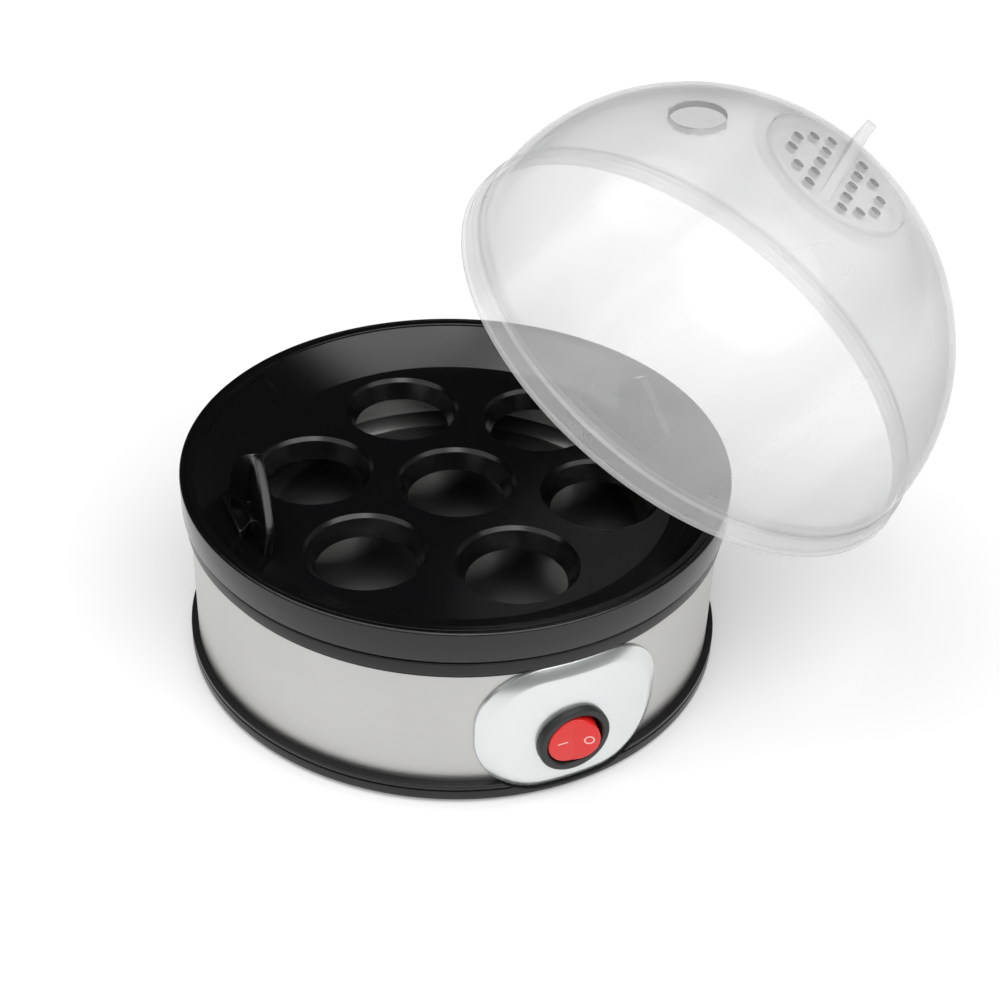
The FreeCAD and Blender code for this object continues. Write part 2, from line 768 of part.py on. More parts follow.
def make_tray_dish():
    """Make the tray's round body: band, rim, sloped wall, floor, shoulder and spigot."""
    band_inner = body_radius - band_wall
    under_rim = rim_top - slope_wall
    line = body_radius - rim_line_inset
    spigot = seat_bore - tray_spigot_gap
    spigot_inner = spigot - tray_spigot_wall
    shoulder = spigot + tray_shoulder
    rest = collar_top + touch_gap
    drop = collar_top - tray_spigot_drop
    return turned([(0, floor_bottom), (spigot_inner, floor_bottom), (spigot_inner, drop), (spigot, drop),
                   (spigot, rest), (shoulder, rest), (shoulder, slope_height(shoulder) - slope_wall),
                   (rim_inner, under_rim), (band_inner, under_rim), (band_inner, band_bottom),
                   (body_radius, band_bottom), (body_radius, rim_top, rim_round), (line, rim_top),
                   (line, rim_top - rim_line), (line - rim_line, rim_top - rim_line),
                   (line - rim_line, rim_top), (rim_inner, rim_top, rim_round),
                   (rim_inner, slope_height(rim_inner)), (slope_foot, floor_top), (0, floor_top)])


def make_seat_cup():
    """Make one seat's wall, below the tray's floor."""
    bottom = floor_top - seat_drop
    return turned([(seat_hole, bottom), (seat_hole + seat_wall, bottom),
                   (seat_mouth + seat_wall, floor_top - seat_bevel), (seat_mouth + seat_wall, floor_top),
                   (seat_hole, floor_top)])


def make_seat_cut():
    """Make the open inside of one seat."""
    bottom = floor_top - seat_drop
    return turned([(0, bottom - overrun), (seat_hole, bottom - overrun), (seat_hole, bottom),
                   (seat_throat, floor_top - seat_bevel), (seat_mouth, floor_top),
                   (seat_mouth, floor_top + overrun), (0, floor_top + overrun)])


def fin_arch(half_width, foot, rise):
    """Make a pointed arch that is seen along X."""
    right = [Vector(0, half_width * across, rim_top + rise * up) for across, up in fin_arch_shares]
    left = [Vector(0, -place.y, place.z) for place in reversed(right)]
    low_left = Vector(0, -half_width, foot)
    low_right = Vector(0, half_width, foot)
    curve_right = Part.BSplineCurve()
    curve_right.interpolate(right)
    curve_left = Part.BSplineCurve()
    curve_left.interpolate(left)
    edges = [Part.LineSegment(low_left, low_right).toShape(), Part.LineSegment(low_right, right[0]).toShape(),
             curve_right.toShape(), Part.LineSegment(right[-1], left[0]).toShape(),
             curve_left.toShape(), Part.LineSegment(left[-1], low_left).toShape()]
    return Part.Face(Part.Wire(edges))


def make_grip_fin():
    """Make one grip fin at +X, leaning to the middle."""
    half = fin_width / 2
    blade = moved(fin_arch(half, floor_bottom + same_point, fin_rise), x=fin_foot - fin_wall)
    blade = blade.extrude(Vector(fin_wall, 0, 0))
    low = Vector(fin_foot - fin_pocket, -fin_channel / 2, rim_top - fin_channel_low)
    channel = block(low, Vector(fin_foot + overrun, fin_channel / 2, rim_top + fin_channel_high))
    rib_low = floor_top + scoop_wall
    rib_high = rim_top + fin_rise / 2
    middle = (rib_low + rib_high) / 2
    rib = outline([(0, rib_low), (fin_rib_width / 2, middle, fin_rib_width), (0, rib_high),
                   (-fin_rib_width / 2, middle, fin_rib_width)], on_end)
    rib = moved(rib, x=fin_foot - fin_wall - fin_rib_wall).extrude(Vector(fin_rib_wall, 0, 0))
    fin = joined([blade.cut(channel), rib])
    fin.rotate(Vector(fin_foot, 0, floor_top), Y_AXIS, -fin_lean)
    return joined([fin.cut(disc(body_radius, 0, floor_bottom)), make_scoop()])


def scoop_outline(inset, bottom):
    """Make the scoop's outline in plan at a height."""
    near = fin_foot - fin_wall / 2 + inset
    far = fin_foot + scoop_reach - inset
    half = scoop_half - inset
    end = half + scoop_flare
    face = outline([(near, -half), (fin_foot, -half), (far, -end), (far, end), (fin_foot, half),
                    (near, half)], in_plan)
    return moved(face, z=bottom)


def make_scoop():
    """Make the raised scoop behind one fin."""
    top = rim_top - scoop_drop
    body = scoop_outline(0, floor_bottom).extrude(Vector(0, 0, top - floor_bottom))
    hollow = scoop_outline(scoop_wall, top - scoop_depth).extrude(Vector(0, 0, scoop_depth + overrun))
    return body.cut(hollow)


def make_finger_recess():
    """Make the cutter for the shallow recess in the sloped wall behind one fin."""
    top = rim_top + overrun
    recess = turned([(finger_foot, slope_height(finger_foot) - finger_sink),
                     (finger_reach, slope_height(finger_reach) - finger_sink),
                     (finger_reach, top), (finger_foot, top)], finger_turn)
    return around(recess, -finger_turn / 2)


def make_egg_tray():
    cup = make_seat_cup()
    cut = make_seat_cut()
    cups = [cup] + repeated(moved(cup, x=seat_pitch), seat_count, seat_turn)
    cuts = [cut] + repeated(moved(cut, x=seat_pitch), seat_count, seat_turn)
    cuts += repeated(make_finger_recess(), 2, fin_turn - finger_shift)
    fins = repeated(make_grip_fin(), 2, fin_turn)
    return joined([make_tray_dish()] + cups).cut(cuts).fuse(fins).removeSplitter()


def dome_point(inset, radius):
    """Return the point of the dome's curve at a radius."""
    turn = math.acos(radius / (dome_radius - inset))
    return Vector(radius, 0, skirt_height + (dome_height - inset) * math.sin(turn))


def dome_arc(inset, end_radius):
    """Make the dome's curve from its foot up to a radius, set in from the outer face."""
    across = dome_radius - inset
    end_turn = math.acos(end_radius / across)
    radii = [across * math.cos(end_turn * step / dome_steps) for step in range(dome_steps)] + [end_radius]
    curve = Part.BSplineCurve()
    curve.interpolate([dome_point(inset, radius) for radius in radii])
    return curve.toShape()


def vent_seat():
    """Return the height of the ledge that carries the vent cap, above the flange's bottom."""
    return dome_point(0, vent_opening).z - vent_sink - vent_wall


def make_lid_dome():
    bore = dome_radius - lid_wall
    thick = vent_opening + vent_slant
    seat = vent_seat()
    top = dome_point(0, vent_opening)
    under = dome_point(lid_wall, thick)
    crown = [under, Vector(thick - vent_slant / 2, 0, seat - vent_wall),
             Vector(vent_opening - vent_ledge, 0, seat - vent_wall), Vector(vent_opening - vent_ledge, 0, seat),
             Vector(vent_opening, 0, seat), top]
    skirt = [Vector(dome_radius, 0, skirt_height), Vector(skirt_radius, 0, skirt_height),
             Vector(skirt_radius, 0, lid_flange), Vector(lid_radius, 0, lid_flange), Vector(lid_radius, 0, 0),
             Vector(skirt_radius - lid_wall, 0, 0), Vector(skirt_radius - lid_wall, 0, skirt_height - lid_wall),
             Vector(bore, 0, skirt_height)]
    rounds = [0, skirt_round, 0, lid_flange_round, lid_flange_round, 0, 0, 0]
    edges = [dome_arc(0, vent_opening)]
    edges += path_edges(skirt, rounds, False)
    edges.append(dome_arc(lid_wall, thick))
    edges += path_edges(crown, [0] * len(crown), False)
    profile = Part.Face(Part.Wire(Part.__sortEdges__(edges)))
    dome = profile.revolve(CENTRE, Z_AXIS, 360)
    return dome.cut(steam_cut())


def steam_cut():
    """Make the cutter for the steam hole, square to the dome's face."""
    place = dome_point(0, steam_circle)
    slope = math.atan2(place.x / dome_radius ** 2, (place.z - skirt_height) / dome_height ** 2)
    direction = Vector(math.sin(slope), 0, math.cos(slope))
    reach = lid_wall * 2 + overrun
    hole = Part.makeCylinder(steam_radius, 2 * reach, place - direction * reach, direction)
    return around(hole, steam_turn)


def make_vent_cap():
    seat = vent_seat()
    top = seat + vent_wall
    plate = disc(vent_opening - slip_gap, seat, top)
    holes = []
    for side in (-1, 1):
        for index in range(vent_row_count):
            along = (index - (vent_row_count - 1) / 2) * vent_row_pitch
            holes.append(disc(vent_hole_radius, seat - overrun, top + overrun, along, side * vent_row_offset))
        for index in range(vent_arc_count):
            angle = math.radians(90 + (index - (vent_arc_count - 1) / 2) * vent_arc_step)
            x = vent_arc_radius * math.cos(angle)
            y = side * vent_arc_radius * math.sin(angle)
            holes.append(disc(vent_hole_radius, seat - overrun, top + overrun, x, y))
    places = [Vector(along * grip_length, -grip_wall / 2, top - vent_wall / 2 + (grip_rise + vent_wall / 2) * up)
              for along, up in grip_shares]
    curve = Part.BSplineCurve()
    curve.interpolate(places[:7])
    edges = [curve.toShape(), Part.makePolygon(places[6:]), Part.LineSegment(places[-1], places[0]).toShape()]
    grip = Part.Face(Part.Wire([piece for shape in edges for piece in shape.Edges]))
    grip = grip.extrude(Vector(0, grip_wall, 0)).common(disc(vent_opening - slip_gap, 0, top + 2 * grip_rise))
    return around(joined([plate.cut(holes), grip]), grip_turn)


def held_open(shape):
    """Put a piece of the lid on the tray and turn it to the held pose."""
    piece = moved(shape, z=lid_seat)
    point = Vector(swing_right, -swing_front, rim_top - swing_drop)
    piece.rotate(point, Vector(*swing_axis_shares), swing_angle)
    return piece


def save(name, shape):
    """Write one named piece."""
    shape.exportStep(os.path.join("parts", name + ".step"))
    print(name, "solids", len(shape.Solids), "volume", round(shape.Volume, 1), "valid", shape.isValid())


def main():
    os.makedirs("parts", exist_ok=True)
    save("bottom_shell", make_bottom_shell())
    save("rubber_feet", make_rubber_feet())
    save("steel_band", make_steel_band())
    save("top_collar", make_top_collar())
    save("base_screws", make_base_screws())
    save("plate_gasket", make_plate_gasket())
    save("heating_plate", make_heating_plate())
    save("heating_element", make_heating_element())
    save("element_pins", make_element_pins())
    save("clamp_bracket", make_clamp_bracket())
    save("plate_nuts", make_plate_nuts())
    save("thermostat", make_thermostat())
    save("heat_tabs", make_heat_tabs())
    save("thermal_fuse", make_thermal_fuse())
    save("live_wires", make_live_wires())
    save("neutral_wire", make_neutral_wire())
    save("earth_wire", make_earth_wire())
    save("terminal_block", make_terminal_block())
    save("terminal_screws", make_terminal_screws())
    save("cord_bush", make_cord_bush())
    save("control_panel", make_control_panel())
    save("panel_clips", make_panel_clips())
    save("switch_housing", make_switch_housing())
    save("switch_tabs", make_switch_tabs())
    save("switch_rocker", make_switch_rocker())
    save("egg_tray", make_egg_tray())
    save("lid_dome", held_open(make_lid_dome()))
    save("vent_cap", held_open(make_vent_cap()))


main()
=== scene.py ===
import json
import math

import bpy
from mathutils import Matrix, Vector


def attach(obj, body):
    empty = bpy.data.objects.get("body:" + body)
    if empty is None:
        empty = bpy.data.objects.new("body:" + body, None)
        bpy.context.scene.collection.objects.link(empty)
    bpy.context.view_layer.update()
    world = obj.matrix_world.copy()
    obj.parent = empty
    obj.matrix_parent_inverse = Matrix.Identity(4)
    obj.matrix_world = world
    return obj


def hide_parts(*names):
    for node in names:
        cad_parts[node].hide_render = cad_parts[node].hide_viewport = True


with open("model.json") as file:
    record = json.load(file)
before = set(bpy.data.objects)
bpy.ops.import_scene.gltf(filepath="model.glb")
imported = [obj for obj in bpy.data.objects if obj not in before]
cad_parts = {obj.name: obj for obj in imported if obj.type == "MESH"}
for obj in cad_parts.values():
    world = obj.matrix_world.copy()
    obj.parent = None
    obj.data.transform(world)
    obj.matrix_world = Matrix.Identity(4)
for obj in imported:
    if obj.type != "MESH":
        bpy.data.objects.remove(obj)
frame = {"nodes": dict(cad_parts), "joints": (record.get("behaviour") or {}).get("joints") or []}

bl_info = {
    "name": "Egg Boiler",
    "version": (1, 0, 0),
    "blender": (4, 5, 0),
    "location": "View3D > Sidebar > Egg Boiler",
    "description": "Round electric egg boiler with a seat tray, a switch panel and a clear dome lid",
    "category": "Object",
}

MM = 0.001
SEGMENTS = 192           # faces round the large turned pieces
SMALL_SEGMENTS = 64      # faces round the small ones
CORNER_STEPS = 5         # points on a rounded corner
OVERRUN = 2 * MM         # how far a cutting shape runs past the face that it cuts
SLIP = 0.15 * MM         # gap round a fixed piece in its hole
ROOT = 1 * MM            # how far an added shape reaches into the one that it grows from
FOOT_COUNT = 4           # feet under the bottom shell
POST_COUNT = 4           # posts that join the collar to the bottom shell
FIN_COUNT = 2            # grip fins on the tray
PAINTED_SHADE_MARK = "painted_shade"     # attribute of the faces of the clear plastic that get painted shade


# Settings that a user would change

def length(name, millimetres, text):
    """Describe one length, given in millimetres and kept in metres."""
    return bpy.props.FloatProperty(name=name, description=text, default=millimetres * MM,
                                   precision=5, unit="LENGTH", subtype="DISTANCE")


def turn(name, degrees, text):
    """Describe one angle, given in degrees and kept in radians."""
    return bpy.props.FloatProperty(name=name, description=text, default=math.radians(degrees),
                                   unit="ROTATION", subtype="ANGLE")


def number(name, count, text):
    """Describe how many times something repeats."""
    return bpy.props.IntProperty(name=name, description=text, default=count, min=1)


def colour(name, red, green, blue, text):
    """Describe one colour."""
    return bpy.props.FloatVectorProperty(name=name, description=text, default=(red, green, blue),
                                         size=3, min=0, max=1, subtype="COLOR")


class BodySizes(bpy.types.PropertyGroup):
    """Sizes of the base, from the table up."""
    radius: length("Body radius", 92.5, "Radius of the bottom ring and of the tray's band")
    steel_radius: length("Steel radius", 90, "Outer radius of the steel band")
    steel_wall: length("Steel wall", 0.6, "Thickness of the steel band")
    foot_stand: length("Foot stand", 1.2, "Height of the underside above the table")
    foot_radius: length("Foot radius", 7, "Radius of a rubber foot")
    foot_sink: length("Foot sink", 1.6, "Depth of a foot's recess")
    foot_circle: length("Foot circle", 76, "Radius of the circle that the feet stand on")
    ring_top: length("Ring top", 7.2, "Height of the bottom ring's top")
    groove: length("Groove", 0.7, "Depth and width of the groove round the bottom ring")
    groove_height: length("Groove height", 4.92, "Height of that groove")
    spigot: length("Spigot", 5, "Height of the shell's upstand inside the steel")
    spigot_wall: length("Spigot wall", 2, "Thickness of that upstand")
    shell_wall: length("Shell wall", 2.4, "Thickness of the bottom shell's floor")
    vent_width: length("Vent width", 3, "Width of a slot in the underside")
    vent_length: length("Vent length", 24, "Length of a slot in the underside")
    vent_pitch: length("Vent pitch", 8, "Distance from slot to slot")
    vent_offset: length("Vent offset", 34, "Distance from the middle to each group of slots")
    post_circle: length("Post circle", 84.4, "Radius of the circle that the screw posts stand on")
    boss_radius: length("Boss radius", 4.4, "Radius of a screw boss")
    boss_top: length("Boss top", 16, "Height of a screw boss")
    socket_radius: length("Socket radius", 3.1, "Radius of the hole below a screw head")
    socket_top: length("Socket top", 13.8, "Height of that hole's end")
    screw_hole: length("Screw hole", 1.65, "Radius of the hole that a screw passes through")
    post_radius: length("Post radius", 3.4, "Radius of a collar post")
    steel_top: length("Steel top", 51, "Height of the steel band's top")
    collar_bottom: length("Collar bottom", 53, "Height of the collar's lower edge")
    collar_top: length("Collar top", 57.5, "Height of the collar's top")
    collar_radius: length("Collar radius", 91.5, "Outer radius of the collar")
    collar_wall: length("Collar wall", 2.2, "Thickness of the collar")
    seat_bore: length("Seat bore", 80, "Radius of the bore that the tray drops into")
    ledge_top: length("Ledge top", 46.5, "Height of the ledge that carries the pan")
    ledge_width: length("Ledge width", 4.5, "Width of that ledge")
    ledge_wall: length("Ledge wall", 2.5, "Thickness of that ledge")


class TraySizes(bpy.types.PropertyGroup):
    """Sizes of the egg tray."""
    band_bottom: length("Band bottom", 59, "Height of the band's lower edge")
    band_wall: length("Band wall", 2, "Thickness of the band")
    rim_top: length("Rim top", 70, "Height of the rim")
    rim_inner: length("Rim inner radius", 88, "Radius of the rim's inner edge")
    rim_line: length("Rim line", 0.4, "Width of the fine groove along the rim")
    rim_line_inset: length("Rim line inset", 1.6, "Distance of that groove from the outer edge")
    floor_top: length("Floor top", 60, "Height of the tray's floor")
    floor_wall: length("Floor wall", 2, "Thickness of the floor")
    slope_foot: length("Slope foot", 73.5, "Radius where the sloped wall meets the floor")
    slope_top: length("Slope top", 69.2, "Height of the sloped wall at the rim")
    slope_wall: length("Slope wall", 2.3, "Thickness of the sloped wall, straight down")
    shoulder: length("Shoulder radius", 83, "Outer radius of the face that rests on the collar")
    shoulder_height: length("Shoulder height", 57.8, "Height of that face")
    spigot: length("Spigot radius", 79.5, "Outer radius of the tray's spigot")
    spigot_wall: length("Spigot wall", 2, "Thickness of the spigot")
    spigot_bottom: length("Spigot bottom", 49.5, "Height of the spigot's lower edge")
    seat_pitch: length("Seat pitch", 49, "Distance from the middle to the outer seats")
    seat_count: number("Outer seats", 6, "Number of seats round the middle one")
    seat_mouth: length("Seat mouth", 20.4, "Radius of a seat's mouth")
    seat_throat: length("Seat throat", 19.2, "Radius at the foot of the bevelled mouth")
    seat_bevel: length("Seat bevel", 1.2, "Height of that bevel")
    seat_hole: length("Seat hole", 16.6, "Radius of the opening at the bottom")
    seat_drop: length("Seat drop", 7, "Height from that opening to the floor")
    seat_wall: length("Seat wall", 1.7, "Thickness of a seat's wall")
    fin_width: length("Fin width", 40, "Width of a grip fin at its foot")
    fin_rise: length("Fin rise", 17.3, "Height of a grip fin above the rim")
    fin_wall: length("Fin wall", 3, "Thickness of a grip fin")
    fin_foot: length("Fin foot", 74, "Distance from the middle to a fin's outer face")
    fin_lean: turn("Fin lean", 8.3, "How far a fin leans to the middle")
    fin_turn: turn("Fin turn", -1.9, "Direction of the first fin")
    fin_round: length("Fin round", 0.5, "Rounding of a fin's edges")
    fin_pocket: length("Channel depth", 1.1, "Depth of the channel on a fin's outer face")
    fin_channel: length("Channel width", 4.4, "Width of that channel")
    rib_wall: length("Rib wall", 0.9, "Thickness of the leaf rib on a fin's inner face")
    rib_width: length("Rib width", 5, "Width of that rib")
    scoop_half: length("Scoop half length", 6.5, "Half the length of the scoop at the fin")
    scoop_flare: length("Scoop flare", 5.5, "How much longer that half is at the scoop's far side")
    scoop_reach: length("Scoop reach", 5, "How far the scoop stands out from the fin")
    scoop_top: length("Scoop top", 66.4, "Height of the scoop's edge")
    scoop_depth: length("Scoop depth", 3.2, "Depth of the scoop")
    scoop_wall: length("Scoop wall", 1.2, "Thickness of the scoop's wall")
    finger_turn: turn("Recess width", 30, "Angle that the shallow recess beside a fin takes up")
    finger_shift: turn("Recess shift", 13.6, "Angle from a fin back to the recess's middle")
    finger_foot: length("Recess foot", 79.8, "Inner radius of that recess")
    finger_reach: length("Recess reach", 86.8, "Outer radius of that recess")
    finger_sink: length("Recess depth", 0.7, "Depth of that recess")


class LidSizes(bpy.types.PropertyGroup):
    """Sizes of the lid, measured from its lower edge."""
    radius: length("Flange radius", 89, "Outer radius of the lid's flange")
    flange: length("Flange height", 1.8, "Height of the flange")
    skirt_radius: length("Skirt radius", 88.1, "Outer radius of the skirt")
    skirt_height: length("Skirt height", 7, "Height of the skirt")
    dome_radius: length("Dome radius", 86.4, "Outer radius at the foot of the dome")
    dome_height: length("Dome height", 78.8, "Height of the dome above the skirt")
    wall: length("Lid wall", 2, "Thickness of the lid")
    vent_opening: length("Vent opening", 26, "Radius of the opening for the vent cap")
    vent_sink: length("Vent sink", 0.8, "How far the cap lies below the dome's edge")
    vent_wall: length("Vent wall", 1.8, "Thickness of the vent cap's disc")
    vent_ledge: length("Vent ledge", 2.6, "Width of the ledge under the disc")
    vent_slant: length("Vent slant", 4, "Distance over which the dome thickens to that ledge")
    steam_radius: length("Steam hole radius", 9, "Radius of the steam hole")
    steam_circle: length("Steam hole offset", 46.8, "Distance from the middle to the steam hole")
    steam_turn: turn("Steam hole turn", 175.8, "Direction of the steam hole")
    hole_radius: length("Vent hole radius", 1.8, "Radius of a hole in the vent cap")
    row_offset: length("Row offset", 6.3, "Distance from the grip to the nearer row of holes")
    row_pitch: length("Row pitch", 8.7, "Distance from hole to hole in that row")
    row_count: number("Row holes", 5, "Number of holes in that row")
    arc_radius: length("Arc radius", 17, "Radius of the outer arc of holes")
    arc_count: number("Arc holes", 4, "Number of holes in that arc")
    arc_step: turn("Arc step", 30, "Angle from hole to hole in that arc")
    grip_turn: turn("Grip turn", 72.7, "Direction of the grip")
    grip_length: length("Grip length", 50, "Length of the grip")
    grip_rise: length("Grip rise", 11, "Height of the grip's tip above the disc")
    grip_wall: length("Grip wall", 3.4, "Thickness of the grip")
    grip_round: length("Grip round", 1.2, "Rounding of the grip's edges")
    seat_height: length("Seat height", 70.3, "Height of the lid's lower edge when it is closed")


class PanelSizes(bpy.types.PropertyGroup):
    """Sizes of the front panel and its switch."""
    width: length("Panel width", 63.5, "Width of the panel")
    height: length("Panel height", 49.5, "Height of the panel")
    lift: length("Panel lift", 3, "Height of the panel's lower edge above the table")
    shift: length("Panel shift", 1.2, "How far the panel's middle lies to the right")
    corner: length("Panel corner", 22, "Radius of the panel's corners")
    back: length("Panel back", 90.15, "Radius of the panel's back")
    edge: length("Panel edge", 91.2, "Radius of the panel's outer edge")
    face: length("Panel face", 93.4, "Radius of the panel's face")
    bevel: length("Panel bevel", 4.2, "Width of the sloped border")
    boss_lift: length("Boss lift", 28.35, "Height of the panel's two bosses above the table")
    boss_spread: length("Boss spread", 22.5, "Distance from the middle to each boss")
    boss_radius: length("Boss radius", 3, "Radius of each boss")
    boss_length: length("Boss length", 8.5, "Length of each boss behind the panel")
    boss_inset: length("Boss inset", 2.7, "How far the panel's curve falls back at a boss")
    switch_lift: length("Switch lift", 23.2, "Height of the switch's middle above the table")
    bezel_radius: length("Bezel radius", 12.3, "Outer radius of the switch's bezel")
    bezel_height: length("Bezel height", 2.2, "How far the bezel stands out from the panel")
    bezel_round: length("Bezel round", 0.9, "Rounding of the bezel's outer edge")
    barrel_radius: length("Barrel radius", 10.6, "Radius of the switch behind the panel")
    barrel_depth: length("Barrel depth", 20, "Depth of the switch behind the panel's face")
    well_radius: length("Well radius", 9.6, "Radius of the well that the rocker sits in")
    well_depth: length("Well depth", 9.6, "Depth of that well")
    rocker_radius: length("Rocker radius", 8.6, "Radius of the rocker")
    pivot_radius: length("Pivot radius", 1.1, "Radius of the rocker's two pivots")
    pivot_reach: length("Pivot reach", 10.2, "Distance from the rocker's middle to a pivot's end")
    pivot_gap: length("Pivot gap", 0.05, "Gap round a pivot in its hole")
    rocker_valley: length("Rocker valley", 3.8, "Distance from the pivot to the middle of the face")
    rocker_slope: turn("Rocker slope", 10, "How steeply each half of the face rises to its end")
    rocker_back: length("Rocker back", 3.2, "Distance from the pivot to the rocker's back")
    rocker_round: length("Rocker round", 0.7, "Rounding of the rocker's edges")
    rocker_turn: turn("Rocker turn", 10, "How far the rocker leans at rest")
    pivot_depth: length("Pivot depth", 4, "Depth of the pivot behind the bezel's front")
    bush_lift: length("Inlet lift", 21, "Height of the cord inlet above the table")
    bush_bore: length("Inlet bore", 3.6, "Radius of the cord inlet's bore")
    bush_neck: length("Inlet neck", 6, "Radius of the inlet inside the wall")
    bush_radius: length("Inlet radius", 8.5, "Radius of the inlet's flange")
    bush_flange: length("Inlet flange", 2.6, "How far the flange stands out from the steel")
    bush_tail: length("Inlet tail", 7, "How far the inlet reaches inside the steel")


class BoilerColours(bpy.types.PropertyGroup):
    """Colours of the finishes."""
    tray_black: colour("Tray black", 0.0045, 0.0045, 0.005, "Gloss black of the tray")
    body_black: colour("Body black", 0.013, 0.013, 0.0135, "Black of the ring and collar")
    bezel_black: colour("Bezel black", 0.022, 0.024, 0.023, "Dark grey of the switch and inlet")
    steel: colour("Steel", 0.53, 0.528, 0.515, "Brushed steel")
    silver: colour("Silver", 0.75, 0.775, 0.77, "Lacquer of the front panel")
    red: colour("Red", 0.84, 0.02, 0.015, "Red of the rocker")
    mark: colour("Mark", 0.92, 0.62, 0.58, "On and off marks of the rocker")
    clear: colour("Clear", 0.94, 0.943, 0.945, "Haze of the clear lid")
    rubber: colour("Rubber", 0.02, 0.02, 0.02, "Rubber of the feet")
    seal: colour("Seal", 0.4, 0.39, 0.37, "Grey of the pan's seal")
    zinc: colour("Zinc", 0.6, 0.6, 0.57, "Plated screws, nuts and brackets")
    casting: colour("Casting", 0.55, 0.55, 0.55, "Cast heating element")
    brass: colour("Brass", 0.75, 0.56, 0.24, "Brass terminals")
    white: colour("White", 0.82, 0.81, 0.77, "Terminal block and sleeve")
    brown: colour("Brown", 0.16, 0.06, 0.03, "Live wires")
    blue: colour("Blue", 0.03, 0.1, 0.4, "Neutral wire")
    green: colour("Green", 0.06, 0.3, 0.07, "Earth wire")
    floor: colour("Floor", 0.9, 0.9, 0.9, "Pale floor and backdrop")


class StageSettings(bpy.types.PropertyGroup):
    """Where the camera stands."""
    azimuth: turn("Azimuth", -26, "Direction of the camera, from the front")
    elevation: turn("Elevation", 35.949, "Height of the camera as an angle")
    roll: turn("Roll", 2.355, "How far the camera leans to one side")
    distance: length("Distance", 604.23, "Distance from the camera to the aimed point")
    aim_x: length("Aim X", 9.214, "Place of the aimed point, to the right")
    aim_y: length("Aim Y", -15.524, "Place of the aimed point, to the back")
    aim_z: length("Aim Z", 60, "Place of the aimed point, up")
    lens: bpy.props.FloatProperty(name="Lens", description="Focal length in millimetres", default=64.8)


# Shader maths

class Link:
    """One output of a material's node, or a plain number, that can stand in a sum."""

    def __init__(self, finish, socket):
        self.finish = finish
        self.socket = socket

    def sum(self, operation, first, second):
        """Add one Math node."""
        return self.finish.node("ShaderNodeMath", {"operation": operation}, {0: first, 1: second})

    def __add__(self, other):
        return self.sum("ADD", self, other)

    def __radd__(self, other):
        return self.sum("ADD", other, self)

    def __sub__(self, other):
        return self.sum("SUBTRACT", self, other)

    def __rsub__(self, other):
        return self.sum("SUBTRACT", other, self)

    def __mul__(self, other):
        return self.sum("MULTIPLY", self, other)

    def __rmul__(self, other):
        return self.sum("MULTIPLY", other, self)

    def __truediv__(self, other):
        return self.sum("DIVIDE", self, other)

    def __pow__(self, other):
        return self.sum("POWER", self, other)


class Finish:
    """One material and its nodes."""

    def __init__(self, name):
        self.material = bpy.data.materials.new(name)
        self.material.use_nodes = True
        self.tree = self.material.node_tree
        self.shader = self.tree.nodes["Principled BSDF"]

    def node(self, kind, settings=None, values=None, output=0):
        """Add any node: its settings first, then the numbers or links of its sockets."""
        node = self.tree.nodes.new(kind)
        for name, value in (settings or {}).items():
            if name == "stops":
                self.set_stops(node.color_ramp, value)
            else:
                setattr(node, name, value)
        for name, value in (values or {}).items():
            self.join(node.inputs[name], value)
        return Link(self, node.outputs[output])

    def set_stops(self, ramp, stops):
        """Set a ramp's stops from pairs of position and grey level."""
        for index, (position, level) in enumerate(stops):
            stop = ramp.elements[index] if index < 2 else ramp.elements.new(position)
            stop.position = position
            stop.color = (level, level, level, 1)

    def join(self, socket, value):
        """Link a socket, or set the number on it."""
        if isinstance(value, Link):
            self.tree.links.new(value.socket, socket)
        else:
            socket.default_value = value

    def set(self, **values):
        """Set sockets of the shader: Base_Color stands for Base Color."""
        for name, value in values.items():
            if name == "Base_Color" and not isinstance(value, Link):
                value = (*value[:3], 1)
            self.join(self.shader.inputs[name.replace("_", " ")], value)

    def place(self):
        """Return the place on the piece, in metres."""
        return self.node("ShaderNodeTexCoord", output="Object")

    def absolute(self, value):
        """Return a number without its sign."""
        return self.node("ShaderNodeMath", {"operation": "ABSOLUTE"}, {0: value})

    def parts(self, place):
        """Split a place into X, Y and Z."""
        return [self.node("ShaderNodeSeparateXYZ", None, {0: place}, axis) for axis in ("X", "Y", "Z")]

    def vector(self, x, y, z):
        """Join three numbers to a place."""
        return self.node("ShaderNodeCombineXYZ", None, {"X": x, "Y": y, "Z": z})

    def noise(self, place, scale, detail=3.0, roughness=0.5):
        """Add a noise pattern."""
        return self.node("ShaderNodeTexNoise", None,
                         {"Vector": place, "Scale": scale, "Detail": detail, "Roughness": roughness})

    def ramp(self, value, *stops):
        """Turn a number into another through a ramp of grey levels."""
        return self.node("ShaderNodeValToRGB", {"stops": stops}, {"Fac": value})

    def blend(self, factor, first, second):
        """Mix two colours."""
        node = self.tree.nodes.new("ShaderNodeMix")
        node.data_type = "RGBA"
        self.join(node.inputs["Factor"], factor)
        for socket, value in ((node.inputs[6], first), (node.inputs[7], second)):
            self.join(socket, value if isinstance(value, Link) else (*value[:3], 1))
        return Link(self, node.outputs[2])

    def shade(self, base, factor, depth):
        """Darken a colour by up to a share where the factor is low."""
        dark = [part * (1 - depth) for part in base]
        return self.blend(factor, dark, base)

    def relief(self, height, distance, strength=1.0):
        """Raise the surface by a pattern, through the shader's normal."""
        bump = self.node("ShaderNodeBump", None,
                         {"Height": height, "Distance": distance, "Strength": strength})
        self.set(Normal=bump)


